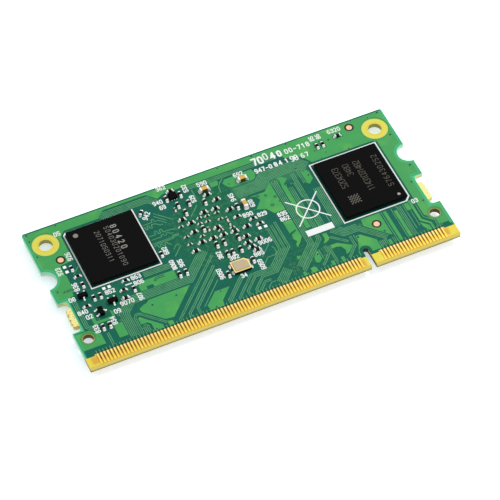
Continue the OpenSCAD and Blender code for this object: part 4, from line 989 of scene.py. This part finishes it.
def islands(node):
    """The separate solids of a CAD node, each as its list of points."""
    solid = bmesh.new()
    solid.from_mesh(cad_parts[node].data)
    bmesh.ops.remove_doubles(solid, verts=solid.verts, dist=1e-7)
    seen, found = set(), []
    for first in solid.verts:
        if first in seen:
            continue
        seen.add(first)
        group, queue = [], [first]
        while queue:
            vert = queue.pop()
            group.append(vert.co.copy())
            for edge in vert.link_edges:
                other = edge.other_vert(vert)
                if other not in seen:
                    seen.add(other)
                    queue.append(other)
        found.append(group)
    solid.free()
    return found


def middle(points):
    return sum(points, Vector()) / len(points)


def terminal_ends(node):
    """Both ends of each small part in a terminals node: the place, the way it looks, its width and height."""
    blocks = [(middle(points), points) for points in islands(node)]
    ends = []
    while blocks:
        here, points = blocks.pop(0)
        there, others = min(blocks, key=lambda block: (block[0] - here).length)
        blocks = [block for block in blocks if block[1] is not others]
        along = (there - here).to_2d().normalized()
        for centre, corners, out in ((here, points, -along), (there, others, along)):
            across = Vector((-out.y, out.x))
            reach = max((corner - centre).to_2d() @ out for corner in corners)
            width = 2 * max((corner - centre).to_2d() @ across for corner in corners)
            height = max(corner.z for corner in corners) - min(corner.z for corner in corners)
            ends.append((centre.to_2d() + out * reach, out, width, height))
    return ends


def flow_fillet(mesh, place, out, width, height, reach):
    """Solder drawn up a terminal's end: hollow from the pad up, and rounded off at its sides."""
    x0 = (place.x - BOARD_LOW.x) / MM
    y0 = (place.y - BOARD_LOW.y) / MM
    across = (-out.y, out.x)
    width, height = width / MM, height / MM
    reach = min(reach / MM, height * 0.7)
    rows, columns = 7, 8
    tops = []
    # u runs from the terminal out along the pad, and v from side to side. The solder climbs the terminal in
    # a hollow slope, and its foot is a thin lip on the pad.
    for row in range(rows + 1):
        u = row / rows
        rim = 0.5 * width * (1.16 - 0.34 * u ** 3)
        line = []
        for column in range(columns + 1):
            v = 2 * column / columns - 1
            climb = 0.86 * height * (1 - u) ** 2.1 * (1 - 0.75 * abs(v) ** 3.2)
            foot = 0.07 * height * (1 - u ** 4) * (1 - v ** 6)
            rounding = 1 - 0.12 * v * v
            line.append((
                x0 + out.x * u * reach * rounding + across[0] * (v * rim),
                y0 + out.y * u * reach * rounding + across[1] * (v * rim),
                climb + foot + 0.004,
            ))
        tops.append(mesh.ring(line))
    edge = tops[0][::-1] + [row[0] for row in tops[1:]] + tops[-1][1:] + [row[-1] for row in tops[-2:0:-1]]
    for here, there in zip(tops, tops[1:]):
        for i in range(columns):
            mesh.face([here[i], there[i], there[i + 1], here[i + 1]])
    ground = LOWER_FACE if mesh.below else UPPER_FACE
    start = len(mesh.points)
    mesh.points += [Vector((mesh.points[i].x, mesh.points[i].y, ground)) for i in edge]
    base = list(range(start, len(mesh.points)))
    mesh.band(edge, base)
    mesh.face(base)


def chequer(mesh, x, y, side, height):
    """A small square pad with slightly drawn-in upper edges."""
    rings = []
    for low, level in ((0, -SUNK), (0.02, height)):
        high = side - low
        corners = ((low, low), (high, low), (high, high), (low, high))
        rings.append(mesh.ring([(x + across, y + along, level) for across, along in corners]))
    mesh.skin(rings)


def crystal_fillets(mesh):
    """Solder at the crystal's four castellations, two at each end."""
    low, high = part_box("crystal_base")
    off, width, height, reach = (length * MM for length in CRYSTAL_SOLDER)
    for x, way in ((low.x, -1), (high.x, 1)):
        for aside in (-off, off):
            place = Vector((x, (low.y + high.y) / 2 + aside))
            flow_fillet(mesh, place, Vector((way, 0)), width, height, reach)


# Operators


class BOARD_OT_finish_board(bpy.types.Operator):
    """Finish the laminate, the mask, the copper and the contacts"""

    bl_idname = "board.finish_board"
    bl_label = "Finish the board"

    def execute(self, context):
        FINISHES["ink"] = ink_finish()
        FINISHES["trace"] = trace_finish()
        dress(["circuit_board"], laminate_finish())
        dress(both_faces("solder_mask"), mask_finish())
        dress(both_faces("copper_fields"), field_finish())
        dress(both_faces("signal_traces"), FINISHES["trace"])
        dress(both_faces("edge_contacts"), gold_finish())
        dress(both_faces("fiducial_marks"), copper_finish())
        dress(both_faces("screen_print"), FINISHES["ink"])
        return {"FINISHED"}


class BOARD_OT_finish_packages(bpy.types.Operator):
    """Finish the moulded packages and the crystal"""

    bl_idname = "board.finish_packages"
    bl_label = "Finish the packages"

    def execute(self, context):
        FINISHES["solder"] = solder_finish()
        moulded = nodes_named("mould_cap") + ["transistor_bodies", "regulator_body", "converter_bodies"]
        dress(moulded + ["resistor_overcoats_top"], mould_finish())
        dress(nodes_named("substrate"), substrate_finish())
        dress(nodes_named("solder_balls"), FINISHES["solder"])
        dress(["crystal_base"], ceramic_finish("crystal_base", shade(10, 9, 8), 0.5, 0.15, 0.15))
        dress(["crystal_seal_ring"], ring_finish())
        dress(["crystal_lid"], lid_finish())
        soften(moulded + ["crystal_lid", "crystal_base"], sizes().package_round)
        return {"FINISHED"}


class BOARD_OT_finish_small_parts(bpy.types.Operator):
    """Finish the small two-ended parts, the inductors and the leads"""

    bl_idname = "board.finish_small_parts"
    bl_label = "Finish the small parts"

    def execute(self, context):
        small = ceramic_finish("capacitor_ceramic", colours().capacitor, 0.46, 0.25, 0.15)
        brown = ceramic_finish("brown_ceramic", shade(52, 30, 14), 0.46, 0.25, 0.15)
        # The tan bodies get painted shade on their walls
        tan = ceramic_finish("tan_ceramic", colours().tan, 0.42, 0.08, 0.3, shade(96, 62, 20))
        dress(both_faces("capacitor_0402_bodies"), small)
        dress(["capacitor_0201_bodies_top"], brown)
        dress(both_faces("capacitor_0603_bodies"), tan)
        dress(["resistor_bodies_top"], ceramic_finish("alumina", colours().alumina, 0.5, 0.05))
        dress(["inductor_bodies"], ceramic_finish("ferrite", colours().ferrite, 0.6, 0.15))
        terminals = nodes_named("terminals", "terminals_top", "terminals_bottom")
        leads = ["transistor_leads", "bare_pads_top"]
        dress(terminals + leads + ["regulator_pads", "converter_pads"], FINISHES["solder"])
        for name in terminals:
            soften([name], sizes().chip_round * (SMALLEST_ROUND if "0201" in name else 1))
        bodies = nodes_named("bodies_top", "bodies_bottom")
        soften(bodies + leads + ["inductor_bodies"], sizes().body_round)
        return {"FINISHED"}


class BOARD_OT_flow_solder(bpy.types.Operator):
    """Flow a hollow fillet of solder at each end of every small part"""

    bl_idname = "board.flow_solder"
    bl_label = "Flow the solder"

    def execute(self, context):
        for side in ("top", "bottom"):
            mesh = PieceMesh(side == "bottom")
            for node in sorted(nodes_named("terminals_" + side)):
                for place, out, width, height in terminal_ends(node):
                    flow_fillet(mesh, place, out, width, height, sizes().fillet_reach)
            if side == "top":
                crystal_fillets(mesh)
            piece = mesh.build("solder_fillets_" + side, [FINISHES["solder"]])
            piece.data.shade_smooth()
            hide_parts("solder_joints_" + side)
        return {"FINISHED"}


class BOARD_OT_drill_vias(bpy.types.Operator):
    """Drill the vias, which show as low rings under the mask"""

    bl_idname = "board.drill_vias"
    bl_label = "Drill the vias"

    def execute(self, context):
        hole = hole_finish()
        border, height = sizes().via / MM, sizes().via_height / MM
        for side in ("top", "bottom"):
            mesh = PieceMesh(side == "bottom")
            for x, y, radius in VIAS:
                add_via(mesh, x, y, radius, border, height)
            if side == "top":
                for x, y, radius in copper_dots():
                    add_via(mesh, x, y, radius * DOT_MIDDLE, radius * DOT_RING, height, DOT_STEP)
                for x, y in fan_of_vias():
                    add_via(mesh, x, y, SMALL_VIA, border * SMALL_RING, height)
            piece = mesh.build("vias_" + side, [FINISHES["trace"], hole])
            piece.data.shade_smooth()
        hollow = ceramic_finish("hollow_under_mask", shade(44, 122, 74), 0.4, 0.12, 0.2)
        wide = PieceMesh()
        for x, y, radius in WIDE_VIAS:
            lathe(wide, x, y, [
                (radius, -VIA_SUNK, 0), (radius, WIDE_VIA_HEIGHT, 0),
                (radius * 0.85, WIDE_VIA_HEIGHT + 0.003, 0), (radius * 0.3, WIDE_VIA_HEIGHT, 0),
            ])
        wide.build("wide_vias", [hollow])
        return {"FINISHED"}


class BOARD_OT_print_numbers(bpy.types.Operator):
    """Print plain numbers beside the parts"""

    bl_idname = "board.print_numbers"
    bl_label = "Print the numbers"

    def execute(self, context):
        pen, rise = sizes().pen / MM, sizes().ink_height / MM
        mesh = PieceMesh()
        for digits, x, y, height in NUMBERS_ALONG:
            write_number(mesh, digits, x, y, height, 0, pen, rise)
        for digits, x, y, height, bold, length in ROWS:
            write_number(mesh, digits, x, y, height, 0, bold, rise, length=length)
        for digits, x, y, height in NUMBERS_UP:
            write_number(mesh, digits, x, y, height, 90, pen, rise)
        digits, x, y, height, turn = SLANTED_NUMBER
        write_number(mesh, digits, x, y, height, turn, pen, rise)
        mesh.build("printed_numbers_top", [FINISHES["ink"]])
        under = PieceMesh(below=True)
        for digits, x, y, height in UNDERSIDE_NUMBERS:
            write_number(under, digits, x, y, height, 0, pen, rise, mirrored=True)
        under.build("printed_numbers_bottom", [FINISHES["ink"]])
        return {"FINISHED"}


class BOARD_OT_mark_packages(bpy.types.Operator):
    """Burn rows of plain numbers into the packages' faces"""

    bl_idname = "board.mark_packages"
    bl_label = "Mark the packages"

    def execute(self, context):
        laser, dimple = laser_finish(), dimple_finish()
        for node, (rows, turn) in MARKED_CAPS.items():
            mesh = PieceMesh()
            for digits, x, y, height, pen, length in rows:
                write_number(mesh, digits, x, y, height, turn, pen, LASER_HEIGHT, length=length)
            if node.startswith("storage"):
                x, y, side, count = CHEQUERS
                for cell in range(0, count * count, 2):
                    chequer(mesh, x + cell % count * side, y + cell // count * side, side, LASER_HEIGHT)
            for owner, x, y, radius, depth in DIMPLES:
                # A shallow dome just off the dimple's floor
                if owner == node:
                    lathe(mesh, x, y, [
                        (radius, -depth - 0.005, 1), (radius * 0.97, -depth + 0.008, 1),
                        (radius * 0.7, -depth + 0.014, 1),
                    ])
            # The marks are made on the board's upper face, and are lifted from there to the package's
            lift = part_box(node)[1].z - UPPER_FACE
            for point in mesh.points:
                point.z += lift
            mesh.build(node.replace("mould_cap", "laser_marks"), [laser, dimple])
        return {"FINISHED"}


class BOARD_OT_stage(bpy.types.Operator):
    """Set up the plain floor, the soft light and the camera"""

    bl_idname = "board.stage"
    bl_label = "Set the stage"

    def execute(self, context):
        stage = context.scene.board_stage
        scene = context.scene
        scene.view_settings.view_transform = "Standard"

        camera = bpy.data.objects.new("camera", bpy.data.cameras.new("camera"))
        scene.collection.objects.link(camera)
        camera.data.lens = stage.lens
        camera.data.sensor_width = 36
        camera.data.clip_start = 0.01
        camera.data.clip_end = 20
        gaze = Vector(stage.camera_aim) - Vector(stage.camera_place)
        turn = gaze.to_track_quat("-Z", "Y").to_matrix() @ Matrix.Rotation(stage.camera_roll, 3, "Z")
        camera.matrix_world = Matrix.Translation(stage.camera_place) @ turn.to_4x4()
        scene.camera = camera

        world = bpy.data.worlds.new("even_light")
        world.use_nodes = True
        scene.world = world
        background = world.node_tree.nodes["Background"].inputs
        give(background["Color"], (1, 1, 1))
        give(background["Strength"], seen_plainly(world.node_tree).between(stage.sky, 1))

        lamp = bpy.data.lights.new("key_light", "AREA")
        lamp.shape = "DISK"
        lamp.size = stage.key_size
        lamp.energy = stage.key
        key = bpy.data.objects.new("key_light", lamp)
        scene.collection.objects.link(key)
        key.location = stage.key_place
        key.rotation_mode = "QUATERNION"
        key.rotation_quaternion = (-key.location).to_track_quat("-Z", "Y")

        ground = bpy.data.meshes.new("floor")
        corners = [(x * FLOOR_REACH, y * FLOOR_REACH, 0) for x, y in ((-1, -1), (1, -1), (1, 1), (-1, 1))]
        ground.from_pydata(corners, [], [(0, 1, 2, 3)])
        floor = bpy.data.objects.new("floor", ground)
        scene.collection.objects.link(floor)
        ground.materials.append(floor_finish(stage.floor))
        return {"FINISHED"}


def seen_plainly(tree):
    """1 for what the camera sees, straight, mirrored or through a clear part, and 0 for scattered light."""
    path = new_node(tree, "ShaderNodeLightPath")
    return either(*(Value(path, ray) for ray in ("Is Camera Ray", "Is Glossy Ray", "Is Transmission Ray")))


def floor_finish(colour):
    """A plain floor, which gains a little light of its own where the camera sees it, to clear to white."""
    material = bpy.data.materials.new("white_floor")
    material.use_nodes = True
    tree = material.node_tree
    tree.nodes.clear()
    tinted = [value * tint for value, tint in zip(colour, FLOOR_TINT)]
    matt = new_node(tree, "ShaderNodeBsdfDiffuse", {"Color": tinted})
    light = {"Color": CLEARING_TINT, "Strength": seen_plainly(tree) * CLEARING}
    glow = new_node(tree, "ShaderNodeEmission", light)
    both = new_node(tree, "ShaderNodeAddShader", {0: Value(matt), 1: Value(glow)})
    new_node(tree, "ShaderNodeOutputMaterial", {"Surface": Value(both)})
    return material


class BOARD_PT_panel(bpy.types.Panel):
    """Lists the board's pieces, sizes and colours"""

    bl_idname = "BOARD_PT_panel"
    bl_label = "Compute board"
    bl_space_type = "VIEW_3D"
    bl_region_type = "UI"
    bl_category = "Board"

    def draw(self, context):
        for operator in OPERATORS:
            self.layout.operator(operator.bl_idname)
        for group in (context.scene.board_sizes, context.scene.board_colours, context.scene.board_stage):
            box = self.layout.box()
            for name in group.__annotations__:
                box.prop(group, name)


GROUPS = {"board_colours": BoardColours, "board_sizes": BoardSizes, "board_stage": BoardStage}
OPERATORS = (
    BOARD_OT_finish_board, BOARD_OT_finish_packages, BOARD_OT_finish_small_parts, BOARD_OT_flow_solder,
    BOARD_OT_drill_vias, BOARD_OT_print_numbers, BOARD_OT_mark_packages, BOARD_OT_stage,
)


def register():
    for name, group in GROUPS.items():
        bpy.utils.register_class(group)
        setattr(bpy.types.Scene, name, bpy.props.PointerProperty(type=group))
    for cls in (*OPERATORS, BOARD_PT_panel):
        bpy.utils.register_class(cls)


def unregister():
    for cls in (BOARD_PT_panel, *reversed(OPERATORS)):
        bpy.utils.unregister_class(cls)
    for name, group in GROUPS.items():
        delattr(bpy.types.Scene, name)
        bpy.utils.unregister_class(group)


def main():
    register()
    bpy.ops.board.finish_board()
    bpy.ops.board.finish_packages()
    bpy.ops.board.finish_small_parts()
    bpy.ops.board.flow_solder()
    bpy.ops.board.drill_vias()
    bpy.ops.board.print_numbers()
    bpy.ops.board.mark_packages()
    bpy.ops.board.stage()


if __name__ == "__main__":
    main()
